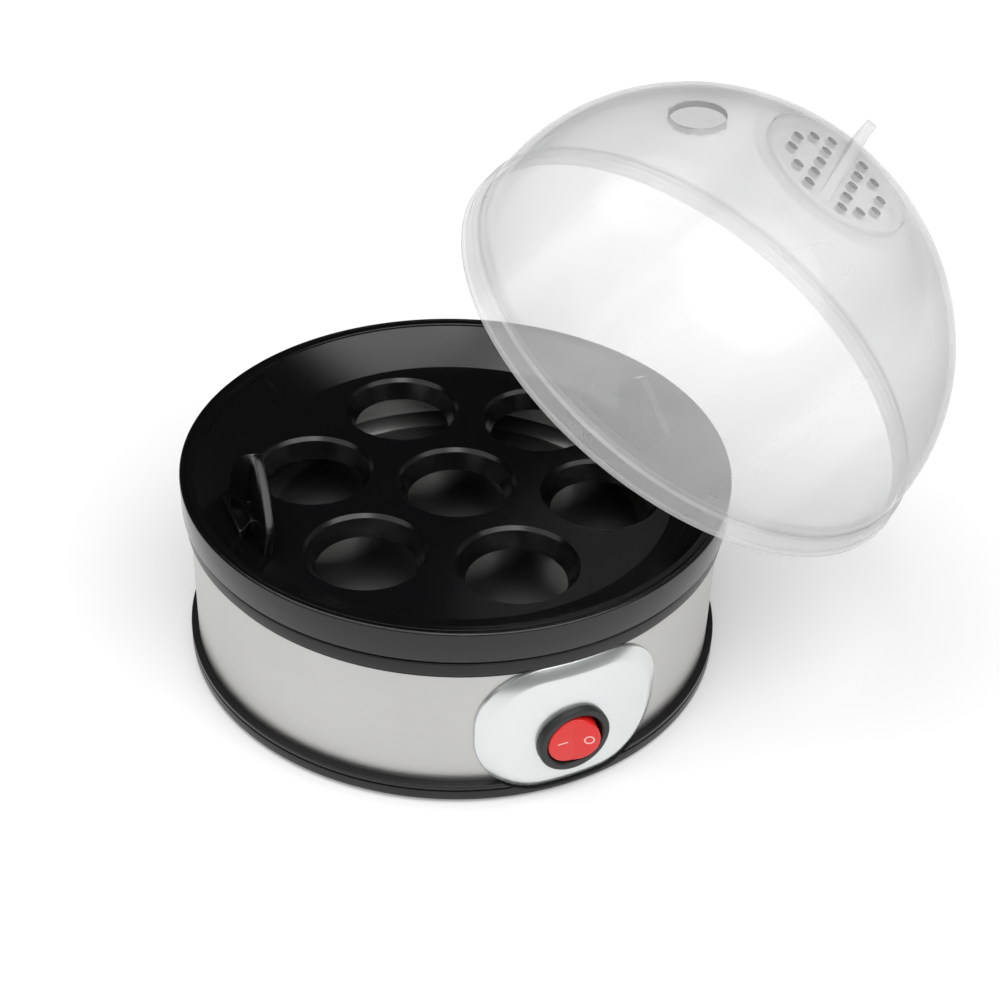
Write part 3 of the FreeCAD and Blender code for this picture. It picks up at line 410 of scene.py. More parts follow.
def moulded(name, base, roughness, depth=0.12, grain=0.00004, gloss=0.5):
    """Make a moulded plastic: faint mottling, wipe marks in the gloss and fine grain."""
    finish = Finish(name)
    place = finish.place()
    cloud = finish.noise(place, 60.0, 4.0)
    wipe = finish.noise(place, 14.0, 5.0, 0.6)
    finish.set(Base_Color=finish.shade(base, cloud, depth),
               Roughness=roughness + (wipe - 0.5) * roughness * 0.5, Specular_IOR_Level=gloss)
    finish.relief(finish.noise(place, 2600.0, 2.0), grain)
    return finish.material


def bare_metal(name, base, roughness, spread=0.25, scale=400.0):
    """Make a plain metal with slight tarnish."""
    finish = Finish(name)
    place = finish.place()
    cloud = finish.noise(place, 45.0, 5.0, 0.6)
    finish.set(Base_Color=finish.shade(base, cloud, 0.18), Metallic=1.0,
               Roughness=roughness + (cloud - 0.5) * spread)
    finish.relief(finish.noise(place, scale * 8, 2.0), 0.00003)
    return finish.material


def brushed_steel(name, base):
    """Make steel brushed round the body: fine lines that run along the band."""
    finish = Finish(name)
    x, y, z = finish.parts(finish.place())
    around = finish.node("ShaderNodeMath", {"operation": "ARCTAN2"}, {0: y, 1: x})
    lines = finish.noise(finish.vector(around * 1.2, 0.0, z * 900.0), 2.2, 4.0, 0.7)
    broad = finish.noise(finish.vector(around * 1.6, 0.0, z * 20.0), 1.4, 3.0)
    finish.set(Base_Color=finish.blend(lines * 0.6 + broad * 0.4, [part * 0.84 for part in base],
                                       [min(part * 1.1, 1) for part in base]),
               Metallic=1.0, Roughness=0.27 + lines * 0.16)
    finish.relief(lines, 0.00002)
    return finish.material


def dish_steel(name, base):
    """Make the pan's steel: rings from spinning and a faint scale mark."""
    finish = Finish(name)
    place = finish.place()
    x, y = finish.parts(place)[:2]
    radius = (x * x + y * y) ** 0.5
    rings = finish.noise(finish.vector(radius * 1400.0, 0.0, 0.0), 1.0, 3.0)
    stain = finish.noise(place, 35.0, 5.0, 0.6)
    finish.set(Base_Color=finish.shade(base, stain, 0.2), Metallic=1.0,
               Roughness=0.2 + rings * 0.14 + stain * 0.08)
    finish.relief(rings, 0.00002)
    return finish.material


def silver_lacquer(name, base):
    """Make the panel's lacquer: metal flakes under a thin gloss."""
    finish = Finish(name)
    place = finish.place()
    flake = finish.noise(place, 5200.0, 2.0)
    cloud = finish.noise(place, 50.0, 3.0)
    finish.set(Base_Color=finish.shade(base, flake * 0.5 + cloud * 0.5, 0.05), Metallic=0.75,
               Roughness=0.24 + flake * 0.04, Coat_Weight=0.25, Coat_Roughness=0.12)
    finish.relief(flake, 0.000001)
    return finish.material


def red_rocker(name, base, mark, sizes):
    """Make the rocker's red with plain on and off marks printed on its halves."""
    finish = Finish(name)
    place = finish.place()
    x, y, z = finish.parts(place)
    dash_shift, dash_half, dash_stroke = 4.3 * MM, 1.5 * MM, 0.2 * MM
    ring_shift, ring_radius, ring_stroke = 4.1 * MM, 1.4 * MM, 0.19 * MM
    print_depth = 0.9 * MM
    height = z - sizes.switch_lift
    across = finish.absolute(x + dash_shift)
    up = finish.absolute(height)
    dash = edge_mask(finish, across, dash_half) * edge_mask(finish, up, dash_stroke)
    ring_x = x - ring_shift
    reach = (ring_x * ring_x + height * height) ** 0.5
    band = finish.absolute(reach - ring_radius)
    ring = edge_mask(finish, band, ring_stroke)
    front = finish.node("ShaderNodeMath", {"operation": "LESS_THAN"}, {0: y, 1: print_depth - sizes.face})
    mask = (dash + ring) * front
    cloud = finish.noise(place, 90.0, 3.0)
    finish.set(Base_Color=finish.blend(mask, finish.shade(base, cloud, 0.1), mark),
               Roughness=0.3 + cloud * 0.08, Coat_Weight=0.1, Coat_Roughness=0.1)
    finish.relief(finish.noise(place, 2500.0, 2.0), 0.00001)
    return finish.material


def edge_mask(finish, distance, half):
    """Return 1 inside a half width and 0 outside, with a soft edge."""
    return finish.node("ShaderNodeMapRange", {"interpolation_type": "SMOOTHSTEP"},
                       {"Value": distance, "From Min": half, "From Max": half * 1.35,
                        "To Min": 1.0, "To Max": 0.0})


def clear_plastic(name, base, alpha):
    """Make the hazy clear plastic of the lid, denser where its wall turns away from the eye, with painted
    reflection bands across it and painted shade on the marked faces.
    """
    finish = Finish(name)
    place = finish.place()
    x, y, z = finish.parts(place)
    # Painted reflection bands: a noise stretched across the lid gives soft diagonal bands. In them the colour
    # is darker, the plastic less clear and the gloss rougher.
    band_noise = finish.noise(finish.vector(x * 18.0 - y * 31.0 - z * 28.0, 0.37, 0.61), 1.0, 1.0)
    painted_bands = finish.ramp(band_noise, (0.35, 0.0), (0.65, 1.0))
    edge = finish.node("ShaderNodeLayerWeight", None, {"Blend": 0.5}, "Facing")
    # Painted shade: the marked faces are darker and less clear. These are the walls of the holes and the step
    # above the skirt.
    painted_shade = finish.node("ShaderNodeAttribute", {"attribute_name": PAINTED_SHADE_MARK}, output="Fac")
    dark = [part * 0.4 for part in base]
    finish.set(Base_Color=finish.blend(edge ** 4.0 + painted_bands * 0.22 + painted_shade, base, dark),
               Alpha=alpha + edge ** 3.0 * 0.45 + painted_bands * 0.08 + painted_shade * 0.5,
               Roughness=0.09 + painted_bands * 0.05, IOR=1.49)
    finish.relief(finish.noise(place, 40.0, 2.0), 0.00006)
    return finish.material


# Modelling

def select_only(*pieces):
    """Select these pieces alone; the first one is active."""
    bpy.ops.object.select_all(action="DESELECT")
    for piece in pieces:
        piece.select_set(True)
    bpy.context.view_layer.objects.active = pieces[0]


def edit_all():
    """Go into edit mode with everything selected."""
    bpy.ops.object.mode_set(mode="EDIT")
    bpy.ops.mesh.select_all(action="SELECT")


def leave_edit():
    """Go back to object mode."""
    bpy.ops.object.mode_set(mode="OBJECT")


def settle(piece):
    """Put a piece's place, turn and scale into its mesh."""
    select_only(piece)
    bpy.ops.object.transform_apply(location=True, rotation=True, scale=True)


def placed(piece, matrix):
    """Place a piece by a matrix, and put that into its mesh."""
    piece.matrix_world = matrix
    settle(piece)
    return piece


def outward(piece):
    """Merge doubled points and turn all faces outwards."""
    select_only(piece)
    edit_all()
    bpy.ops.mesh.remove_doubles(threshold=0.000002)
    bpy.ops.mesh.select_all(action="SELECT")
    bpy.ops.mesh.normals_make_consistent(inside=False)
    leave_edit()


def smooth(piece, degrees=35):
    """Shade a piece smooth except across sharp edges."""
    select_only(piece)
    bpy.ops.object.shade_smooth_by_angle(angle=math.radians(degrees))


def apply(piece, kind, **settings):
    """Add a modifier, set it and apply it."""
    select_only(piece)
    modifier = piece.modifiers.new(kind.title(), kind)
    for name, value in settings.items():
        setattr(modifier, name, value)
    bpy.ops.object.modifier_apply(modifier=modifier.name)


def bevel(piece, width, segments=3, degrees=60):
    """Round the edges of a piece that are sharper than an angle."""
    apply(piece, "BEVEL", width=width, segments=segments, limit_method="ANGLE",
          angle_limit=math.radians(degrees))


def cut(piece, tool, operation="DIFFERENCE"):
    """Cut one piece by another, or add it, and delete the tool."""
    apply(piece, "BOOLEAN", operation=operation, solver="EXACT", object=tool)
    bpy.data.objects.remove(tool)


def combined(pieces):
    """Join several pieces into one object."""
    select_only(*pieces)
    if len(pieces) > 1:
        bpy.ops.object.join()
    return bpy.context.view_layer.objects.active


def copied(piece, matrix):
    """Copy a piece with its own mesh and place it by a matrix."""
    twin = piece.copy()
    twin.data = piece.data.copy()
    bpy.context.scene.collection.objects.link(twin)
    return placed(twin, matrix @ piece.matrix_world)


def turn_about_z(angle):
    """Return a turn about the body's axis."""
    return Matrix.Rotation(angle, 4, "Z")


def around(piece, count, first=0.0):
    """Copy a piece at even angles about the body's axis and join the copies."""
    twins = [copied(piece, turn_about_z(first + math.tau * index / count)) for index in range(count)]
    bpy.data.objects.remove(piece)
    return combined(twins)


def rounded(corners):
    """Turn corners into points; a corner's third value is its rounding."""
    points = []
    for index, corner in enumerate(corners):
        here = Vector(corner[:2])
        if len(corner) < 3:
            points.append(here)
            continue
        before = (Vector(corners[index - 1][:2]) - here).normalized()
        after = (Vector(corners[(index + 1) % len(corners)][:2]) - here).normalized()
        half = before.angle(after) / 2
        inward = (before + after).normalized()
        middle = here + inward * (corner[2] / math.sin(half))
        start = here + before * (corner[2] / math.tan(half)) - middle
        sweep = math.pi - 2 * half
        if before.x * after.y - before.y * after.x > 0:
            sweep = -sweep
        for step in range(CORNER_STEPS + 1):
            angle = sweep * step / CORNER_STEPS
            points.append(middle + Matrix.Rotation(angle, 2) @ start)
    return points


def outline_mesh(name, places, fill=False):
    """Make a closed line of points from a circle primitive."""
    bpy.ops.object.select_all(action="DESELECT")
    kind = "NGON" if fill else "NOTHING"
    bpy.ops.mesh.primitive_circle_add(vertices=len(places), radius=1, fill_type=kind)
    piece = bpy.context.object
    piece.name = name
    for vertex, place in zip(piece.data.vertices, places):
        vertex.co = place
    return piece


def turned(name, corners, segments=SEGMENTS, sweep=math.tau, first=0.0):
    """Spin an outline of radii and heights about the body's axis."""
    points = rounded(corners)
    piece = outline_mesh(name, [(point.x, 0, point.y) for point in points], fill=sweep < math.tau)
    edit_all()
    bpy.ops.mesh.spin(steps=segments, angle=sweep, center=(0, 0, 0), axis=(0, 0, 1))
    leave_edit()
    outward(piece)
    return placed(piece, turn_about_z(first)) if first else piece


def extruded(name, places, reach):
    """Extrude a flat outline by a vector."""
    piece = outline_mesh(name, places, fill=True)
    edit_all()
    bpy.ops.mesh.extrude_region_move(TRANSFORM_OT_translate={"value": reach})
    leave_edit()
    outward(piece)
    return piece


def upright(name, radius, bottom, top, x=0.0, y=0.0, segments=SMALL_SEGMENTS):
    """Make an upright cylinder between two heights."""
    bpy.ops.object.select_all(action="DESELECT")
    bpy.ops.mesh.primitive_cylinder_add(vertices=segments, radius=radius, depth=top - bottom,
                                        location=(x, y, (bottom + top) / 2))
    bpy.context.object.name = name
    settle(bpy.context.object)
    return bpy.context.object


def facing_front(piece, distance, height):
    """Turn a piece made about Z to face the front, at a distance and a height."""
    return placed(piece, Matrix.Translation((0, -distance, height)) @ Matrix.Rotation(math.pi / 2, 4, "X"))


def box_shape(name, low, high):
    """Make a box between two corners."""
    bpy.ops.object.select_all(action="DESELECT")
    bpy.ops.mesh.primitive_cube_add(size=1)
    piece = bpy.context.object
    piece.name = name
    low, high = Vector(low), Vector(high)
    return placed(piece, Matrix.Translation((low + high) / 2) @ Matrix.Diagonal((*(high - low), 1)))


def finish_piece(piece, body, slot, material, *nodes, sharp=35):
    """Give a finished piece its shading, finish and body; it stands for its nodes."""
    smooth(piece, sharp)
    piece.data.materials.clear()
    piece.data.materials.append(bpy.data.materials[material])
    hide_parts(*nodes)
    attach(piece, body)


def mark_painted_shade(piece, shade_of):
    """Mark the faces of the clear plastic that get painted shade, by a function of centre and normal."""
    marks = piece.data.attributes.new(PAINTED_SHADE_MARK, "FLOAT", "FACE")
    for face, mark in zip(piece.data.polygons, marks.data):
        mark.value = shade_of(face.center, face.normal)


def held_open(piece):
    """Turn a piece of the lid from its seat on the tray to the pose in which it is held."""
    hinge = next(joint for joint in frame["joints"] if joint["name"] == "lid_swing")
    point = Vector(hinge["pos_m"])
    angle = -math.radians(hinge["range_deg"][0])
    swing = Matrix.Rotation(angle, 4, Vector(hinge["axis"]))
    lift = Matrix.Translation((0, 0, bpy.context.scene.lid_sizes.seat_height))
    placed(piece, Matrix.Translation(point) @ swing @ Matrix.Translation(-point) @ lift)


# Pieces of the base

def panel_ring(panel, margin, corner_steps=14, side_steps=7):
    """Return the panel's rounded outline, set in by a margin, as places across and up."""
    across = panel.width / 2 - panel.corner
    centre = Vector((panel.shift, panel.lift + panel.height / 2))
    up = panel.height / 2 - panel.corner
    radius = panel.corner - margin
    places = []
    corners = [centre + Vector(corner) for corner in ((across, -up), (across, up), (-across, up),
                                                      (-across, -up))]
    for index, corner in enumerate(corners):
        for step in range(corner_steps + 1):
            angle = math.pi / 2 * (index - 1 + step / corner_steps)
            places.append(corner + radius * Vector((math.cos(angle), math.sin(angle))))
        angle = math.pi / 2 * index
        end = corners[(index + 1) % len(corners)] + radius * Vector((math.cos(angle), math.sin(angle)))
        start = places[-1]
        for step in range(1, side_steps):
            places.append(start.lerp(end, step / side_steps))
    return places


def panel_notch(body, panel):
    """Make the room that the panel takes up outside the steel."""
    places = [(place.x, -body.steel_radius / 2, place.y) for place in panel_ring(panel, -SLIP)]
    notch = extruded("notch", places, (0, -body.steel_radius, 0))
    cut(notch, upright("core", body.steel_radius, -OVERRUN, body.collar_top + OVERRUN * 2, segments=SEGMENTS))
    return notch


def barrel_room(body, panel):
    """Make the room that the switch takes up behind the panel."""
    return facing_front(upright("barrel", panel.barrel_radius + SLIP, -body.radius / 2, OVERRUN),
                        body.radius, panel.switch_lift)


def posts(name, body, radius, bottom, top):
    """Make the four upright cylinders on the posts' circle."""
    post = upright(name, radius, bottom, top, body.post_circle)
    return around(post, POST_COUNT, math.pi / POST_COUNT)


def make_bottom_shell(body, panel):
    """Make the bottom ring with its floor and bosses, and cut its slots, recesses and notch."""
    low = body.foot_stand
    sleeve = body.steel_radius - body.steel_wall - SLIP
    inner = sleeve - body.spigot_wall
    line = body.groove_height
    line_radius = body.radius - body.groove
    floor = low + body.shell_wall
    spigot_top = body.ring_top + body.spigot
    low_round, line_round, top_round = 0.8 * MM, 0.15 * MM, 0.4 * MM
    shell = turned("bottom_shell_ring", [
        (0, low), (body.radius, low, low_round), (body.radius, line, line_round), (line_radius, line),
        (line_radius, line + body.groove), (body.radius, line + body.groove, line_round),
        (body.radius, body.ring_top, top_round), (sleeve, body.ring_top), (sleeve, spigot_top),
        (inner, spigot_top), (inner, floor), (0, floor)])
    cut(shell, posts("boss", body, body.boss_radius, floor - OVERRUN / 4, body.boss_top), "UNION")
    cut(shell, posts("socket", body, body.socket_radius, -OVERRUN, body.socket_top))
    cut(shell, posts("hole", body, body.screw_hole, 0, body.boss_top + OVERRUN))
    recess = upright("recess", body.foot_radius + SLIP, -OVERRUN, low + body.foot_sink, body.foot_circle)
    cut(shell, around(recess, FOOT_COUNT))
    slots = []
    for side in (-1, 1):
        for step in range(-2, 3):
            x = side * body.vent_offset + step * body.vent_pitch
            slots.append(box_shape("slot", (x - body.vent_width / 2, -body.vent_length / 2, 0),
                                   (x + body.vent_width / 2, body.vent_length / 2, floor + OVERRUN)))
    cut(shell, combined(slots))
    cut(shell, barrel_room(body, panel))
    cut(shell, panel_notch(body, panel))
    finish_piece(shell, "base", "black_plastic", "body black", "bottom_shell")


def make_rubber_feet(body):
    """Make the four round feet."""
    top = body.foot_stand + body.foot_sink
    edge_round = 0.5 * MM
    foot = turned("rubber_foot", [(0, 0), (body.foot_radius, 0, edge_round), (body.foot_radius, top),
                                  (0, top)], SMALL_SEGMENTS)
    feet = around(placed(foot, Matrix.Translation((body.foot_circle, 0, 0))), FOOT_COUNT)
    feet.name = "rubber_feet_round"
    finish_piece(feet, "base", "foot_rubber", "rubber", "rubber_feet")


def make_steel_band(body, panel):
    """Make the brushed band and the holes for the switch and the cord inlet."""
    bore = body.steel_radius - body.steel_wall
    edge_round = 0.1 * MM
    band = turned("steel_band_smooth", [
        (bore, body.ring_top), (body.steel_radius, body.ring_top, edge_round),
        (body.steel_radius, body.steel_top, edge_round), (bore, body.steel_top)])
    cut(band, barrel_room(body, panel))
    cut(band, facing_front(upright("inlet", panel.bush_neck + SLIP, -OVERRUN, body.radius / 2),
                           -body.radius, panel.bush_lift))
    finish_piece(band, "base", "brushed_band", "brushed steel", "steel_band")


def make_top_collar(body, panel):
    """Make the collar on the steel band, with its bore, ledge and posts."""
    sleeve = body.steel_radius - body.steel_wall - SLIP
    inner = sleeve - body.spigot_wall
    low = body.steel_top - body.spigot
    deck = body.collar_top - body.collar_wall
    outer = body.seat_bore + body.collar_wall
    ledge = body.seat_bore - body.ledge_width
    bottom = body.ledge_top - body.ledge_wall
    edge_round, top_round = 0.3 * MM, 0.6 * MM
    collar = turned("top_collar_ring", [
        (body.seat_bore, body.collar_top, edge_round), (body.collar_radius, body.collar_top, top_round),
        (body.collar_radius, body.collar_bottom, edge_round), (body.steel_radius, body.collar_bottom),
        (body.steel_radius, body.steel_top), (sleeve, body.steel_top), (sleeve, low), (inner, low),
        (inner, deck), (outer, deck), (outer, bottom), (ledge, bottom), (ledge, body.ledge_top),
        (body.seat_bore, body.ledge_top)])
    cut(collar, posts("post", body, body.post_radius, body.boss_top, deck + body.collar_wall / 2), "UNION")
    cut(collar, panel_notch(body, panel))
    finish_piece(collar, "base", "black_plastic", "body black", "top_collar")


def make_control_panel(panel):
    """Make the panel from rings of points: back, side, sloped border and curved face."""
    hole = panel.barrel_radius + SLIP
    count = len(panel_ring(panel, 0))
    drop = panel.face - panel.edge
    bend = 0.5 * MM
    boss_root = 0.4 * MM
    face_rings = 14

    def on_front(place, depth):
        """Put a place on the curved face, or a depth behind it."""
        return (place.x, depth - math.sqrt(panel.face ** 2 - place.x ** 2), place.y)

    def on_back(place):
        """Put a place on the curved back."""
        return (place.x, -math.sqrt(panel.back ** 2 - place.x ** 2), place.y)

    def towards_hole(place, share):
        """Move a place to the edge of the switch's hole by a share of the way."""
        middle = Vector((0, panel.switch_lift))
        return place.lerp(middle + (place - middle).normalized() * hole, share)

    outer = panel_ring(panel, 0)
    border = panel_ring(panel, panel.bevel)
    rings = [[on_back(towards_hole(place, share)) for place in outer] for share in (1, 0.66, 0.33, 0)]
    rounded_edge = ((0, drop + 0.25 * MM), (0.07 * MM, drop + 0.05 * MM), (0.3 * MM, drop - 0.15 * MM))
    soft_bend = ((panel.bevel - bend, 0.26 * MM), (panel.bevel, 0.08 * MM), (panel.bevel + bend, 0))
    for margin, depth in rounded_edge + soft_bend:
        rings.append([on_front(place, depth) for place in panel_ring(panel, margin)])
    for step in range(1, face_rings + 1):
        rings.append([on_front(towards_hole(place, step / face_rings), 0) for place in border])
    rings.append(rings[0])
    slab = sheet("control_panel_face", rings, count)
    bosses = []
    for side in (-1, 1):
        post = upright("boss", panel.boss_radius, -panel.boss_length, boss_root)
        post = facing_front(post, panel.back - panel.boss_inset, panel.boss_lift)
        bosses.append(placed(post, Matrix.Translation((side * panel.boss_spread, 0, 0))))
    slab = combined([slab] + bosses)
    finish_piece(slab, "base", "silver_panel", "silver", "control_panel", sharp=24)


def sheet(name, rings, count):
    """Make a surface through closed rings of points, one after another."""
    bpy.ops.object.select_all(action="DESELECT")
    bpy.ops.mesh.primitive_grid_add(x_subdivisions=count, y_subdivisions=len(rings) - 1, size=1)
    piece = bpy.context.object
    piece.name = name
    for index, vertex in enumerate(piece.data.vertices):
        row, column = divmod(index, count + 1)
        vertex.co = rings[row][column % count]
    outward(piece)
    return piece


def make_switch_housing(body, panel):
    """Make the switch's bezel and barrel, with the well and the pivot holes."""
    front = panel.face + panel.bezel_height
    back = panel.barrel_depth + panel.bezel_height
    blank = 4 * MM
    lip, lip_round = 0.45 * MM, 0.2 * MM
    flange = turned("switch_bezel", [
        (0, -blank), (panel.bezel_radius, -blank), (panel.bezel_radius, 0, panel.bezel_round),
        (0, 0)], SMALL_SEGMENTS * 2)
    flange = facing_front(flange, front, panel.switch_lift)
    cut(flange, upright("core", panel.face, 0, body.collar_top, segments=SEGMENTS))
    shaft = facing_front(upright("shaft", panel.barrel_radius, -back, -panel.bezel_round,
                                 segments=SMALL_SEGMENTS * 2), front, panel.switch_lift)
    cut(flange, shaft, "UNION")
    well = turned("well", [(0, -panel.well_depth), (panel.well_radius, -panel.well_depth),
                           (panel.well_radius, -lip, lip_round),
                           (panel.well_radius + lip, 0, lip_round),
                           (panel.well_radius + lip, OVERRUN), (0, OVERRUN)], SMALL_SEGMENTS * 2)
    cut(flange, facing_front(well, front, panel.switch_lift))
    pivot_y = -(front - panel.pivot_depth)
    reach = panel.pivot_reach + panel.pivot_gap
    cut(flange, upright("pivots", panel.pivot_radius + panel.pivot_gap, panel.switch_lift - reach,
                        panel.switch_lift + reach, 0, pivot_y))
    finish_piece(flange, "base", "dark_moulding", "bezel black", "switch_housing")


def make_switch_rocker(panel):
    """Make the round rocker with its shallow V face and its pivots, leaning as it rests."""
    radius = panel.rocker_radius
    rise = radius * math.tan(panel.rocker_slope)
    valley = -panel.rocker_valley
    bend, bend_rise = 0.6 * MM, 0.08 * MM
    corners = [(-radius, panel.rocker_back), (radius, panel.rocker_back), (radius, valley - rise),
               (bend, valley - bend_rise), (0, valley), (-bend, valley - bend_rise),
               (-radius, valley - rise)]
    places = [(x, y, -radius) for x, y in corners]
    button = extruded("switch_rocker_button", places, (0, 0, 2 * radius))
    bar = upright("bar", radius, -3 * radius, 3 * radius, segments=SMALL_SEGMENTS * 2)
    cut(button, placed(bar, Matrix.Rotation(math.pi / 2, 4, "X")), "INTERSECT")
    bevel(button, panel.rocker_round, 4, 50)
    cut(button, upright("pivots", panel.pivot_radius, -panel.pivot_reach, panel.pivot_reach), "UNION")
    pivot = Vector((0, panel.pivot_depth - panel.bezel_height - panel.face, panel.switch_lift))
    placed(button, Matrix.Translation(pivot) @ turn_about_z(-panel.rocker_turn))
    finish_piece(button, "rocker", "red_rocker", "rocker red", "switch_rocker", sharp=28)


def make_cord_bush(body, panel):
    """Make the cord inlet's round bush at the back."""
    inside = body.steel_radius - body.steel_wall - panel.bush_tail
    outside = body.steel_radius + panel.bush_flange
    depth = outside - inside
    blank, edge_round = 8 * MM, 0.8 * MM
    flange = turned("cord_bush_round", [(0, -blank), (panel.bush_radius, -blank),
                                        (panel.bush_radius, 0, edge_round), (0, 0)], SMALL_SEGMENTS)
    place = Matrix.Translation((0, outside, panel.bush_lift)) @ Matrix.Rotation(-math.pi / 2, 4, "X")
    placed(flange, place)
    cut(flange, upright("core", body.steel_radius, 0, body.collar_top, segments=SEGMENTS))
    for name, radius, reach, operation in (("neck", panel.bush_neck, 0, "UNION"),
                                           ("bore", panel.bush_bore, OVERRUN, "DIFFERENCE")):
        tool = upright(name, radius, -depth - reach, -OVERRUN / 2 if name == "neck" else reach)
        cut(flange, placed(tool, place), operation)
    finish_piece(flange, "base", "dark_moulding", "bezel black", "cord_bush")


# The egg tray

def slope_height(tray, radius):
    """Return the height of the tray's sloped wall at a radius."""
    share = (radius - tray.slope_foot) / (tray.rim_inner - tray.slope_foot)
    return tray.floor_top + share * (tray.slope_top - tray.floor_top)


def flowing(points, steps=6):
    """Return a smooth line through points."""
    line = []
    for index in range(len(points) - 1):
        before = points[max(index - 1, 0)]
        start, end = points[index], points[index + 1]
        after = points[min(index + 2, len(points) - 1)]
        for step in range(steps):
            t = step / steps
            line.append(0.5 * (2 * start + (end - before) * t
                               + (2 * before - 5 * start + 4 * end - after) * t ** 2
                               + (3 * start - before - 3 * end + after) * t ** 3))
    line.append(points[-1])
    return line


def make_dish(body, tray):
    """Make the tray's round body: band, rim, sloped wall, floor, shoulder and spigot."""
    outer = body.radius
    band_inner = outer - tray.band_wall
    line = outer - tray.rim_line_inset
    fine = tray.rim_line
    floor = tray.floor_top - tray.floor_wall
    spigot_inner = tray.spigot - tray.spigot_wall
    under = tray.rim_top - tray.slope_wall
    band_round, rim_round, line_round = 0.3 * MM, 0.8 * MM, 0.1 * MM
    inner_round, slope_round, floor_round = 0.6 * MM, 0.3 * MM, 1 * MM
    return turned("egg_tray_dish", [
        (0, floor), (spigot_inner, floor), (spigot_inner, tray.spigot_bottom),
        (tray.spigot, tray.spigot_bottom), (tray.spigot, tray.shoulder_height),
        (tray.shoulder, tray.shoulder_height),
        (tray.shoulder, slope_height(tray, tray.shoulder) - tray.slope_wall), (tray.rim_inner, under),
        (band_inner, under), (band_inner, tray.band_bottom), (outer, tray.band_bottom, band_round),
        (outer, tray.rim_top, rim_round), (line, tray.rim_top, line_round), (line, tray.rim_top - fine),
        (line - fine, tray.rim_top - fine), (line - fine, tray.rim_top, line_round),
        (tray.rim_inner, tray.rim_top, inner_round), (tray.rim_inner, tray.slope_top, slope_round),
        (tray.slope_foot, tray.floor_top, floor_round), (0, tray.floor_top)], SEGMENTS + SMALL_SEGMENTS)


def seat_places(tray):
    """Return where the seats are: one in the middle and the others round it."""
    turns = [math.tau * index / tray.seat_count - math.pi / 2 for index in range(tray.seat_count)]
    return [Vector((0, 0, 0))] + [Vector((math.cos(angle), math.sin(angle), 0)) * tray.seat_pitch
                                  for angle in turns]


def at_seats(piece, tray):
    """Copy a piece to every seat and join the copies."""
    twins = [copied(piece, Matrix.Translation(place)) for place in seat_places(tray)]
    bpy.data.objects.remove(piece)
    return combined(twins)


def make_fin(tray):
    """Make one grip fin at +X with its channel and its leaf rib, leaning to the middle."""
    half = tray.fin_width / 2
    shares = [(1, 0), (0.92, 0.15), (0.81, 0.3), (0.68, 0.45), (0.54, 0.6), (0.37, 0.75), (0.21, 0.88),
              (0.1, 0.96), (0.03, 1)]
    right = flowing([Vector((half * across, tray.rim_top + tray.fin_rise * up)) for across, up in shares])
    side = [Vector((half, tray.floor_top - ROOT))] + right
    near = tray.fin_foot - tray.fin_wall
    places = [(near, place.x, place.y) for place in side]
    places += [(near, -place.x, place.y) for place in reversed(side)]
    blade = extruded("fin", places, (tray.fin_wall, 0, 0))
    bevel(blade, tray.fin_round)
    half_channel = tray.fin_channel / 2
    channel_drop, channel_rise, channel_round = 2 * MM, 13 * MM, 0.6 * MM
    low = tray.rim_top - channel_drop
    high = tray.rim_top + channel_rise
    corners = rounded([(-half_channel, low, channel_round), (half_channel, low, channel_round),
                       (half_channel, high, channel_round), (-half_channel, high, channel_round)])
    channel = extruded("channel", [(tray.fin_foot - tray.fin_pocket, point.x, point.y) for point in corners],
                       (OVERRUN, 0, 0))
    cut(blade, channel)
    rib_lift, rib_root, rib_round = 1.2 * MM, 0.3 * MM, 0.35 * MM
    bottom = tray.floor_top + rib_lift
    top = tray.rim_top + tray.fin_rise / 2
    middle = (bottom + top) / 2
    reach = tray.rib_width / 2
    belly = reach * 0.72
    leaf = flowing([Vector((0, bottom)), Vector((belly, (bottom + middle) / 2)), Vector((reach, middle)),
                    Vector((belly, (top + middle) / 2)), Vector((0, top))])
    outline = [(near + rib_root, point.x, point.y) for point in leaf]
    outline += [(near + rib_root, -point.x, point.y) for point in reversed(leaf[1:-1])]
    rib = extruded("rib", outline, (-tray.rib_wall - rib_root, 0, 0))
    bevel(rib, rib_round)
    cut(blade, rib, "UNION")
    pivot = Matrix.Translation((tray.fin_foot, 0, tray.floor_top))
    return placed(blade, pivot @ Matrix.Rotation(-tray.fin_lean, 4, "Y") @ pivot.inverted())


def scoop_places(tray, inset, height):
    """Return the scoop's outline in plan."""
    near = tray.fin_foot - tray.fin_wall / 2 + inset
    far = tray.fin_foot + tray.scoop_reach - inset
    half = tray.scoop_half - inset
    end = half + tray.scoop_flare
    corner_round = 1 * MM
    corners = rounded([(near, -half), (tray.fin_foot, -half), (far, -end, corner_round),
                       (far, end, corner_round), (tray.fin_foot, half), (near, half)])
    return [(point.x, point.y, height) for point in corners]


def make_scoop(tray):
    """Make the raised scoop behind one fin."""
    foot = tray.floor_top - ROOT
    edge_round = 0.3 * MM
    scoop = extruded("scoop", scoop_places(tray, 0, foot), (0, 0, tray.scoop_top - foot))
    bevel(scoop, edge_round, 2)
    bottom = tray.scoop_top - tray.scoop_depth
    cut(scoop, extruded("hollow", scoop_places(tray, tray.scoop_wall, bottom),
                        (0, 0, tray.scoop_depth + OVERRUN)))
    return scoop


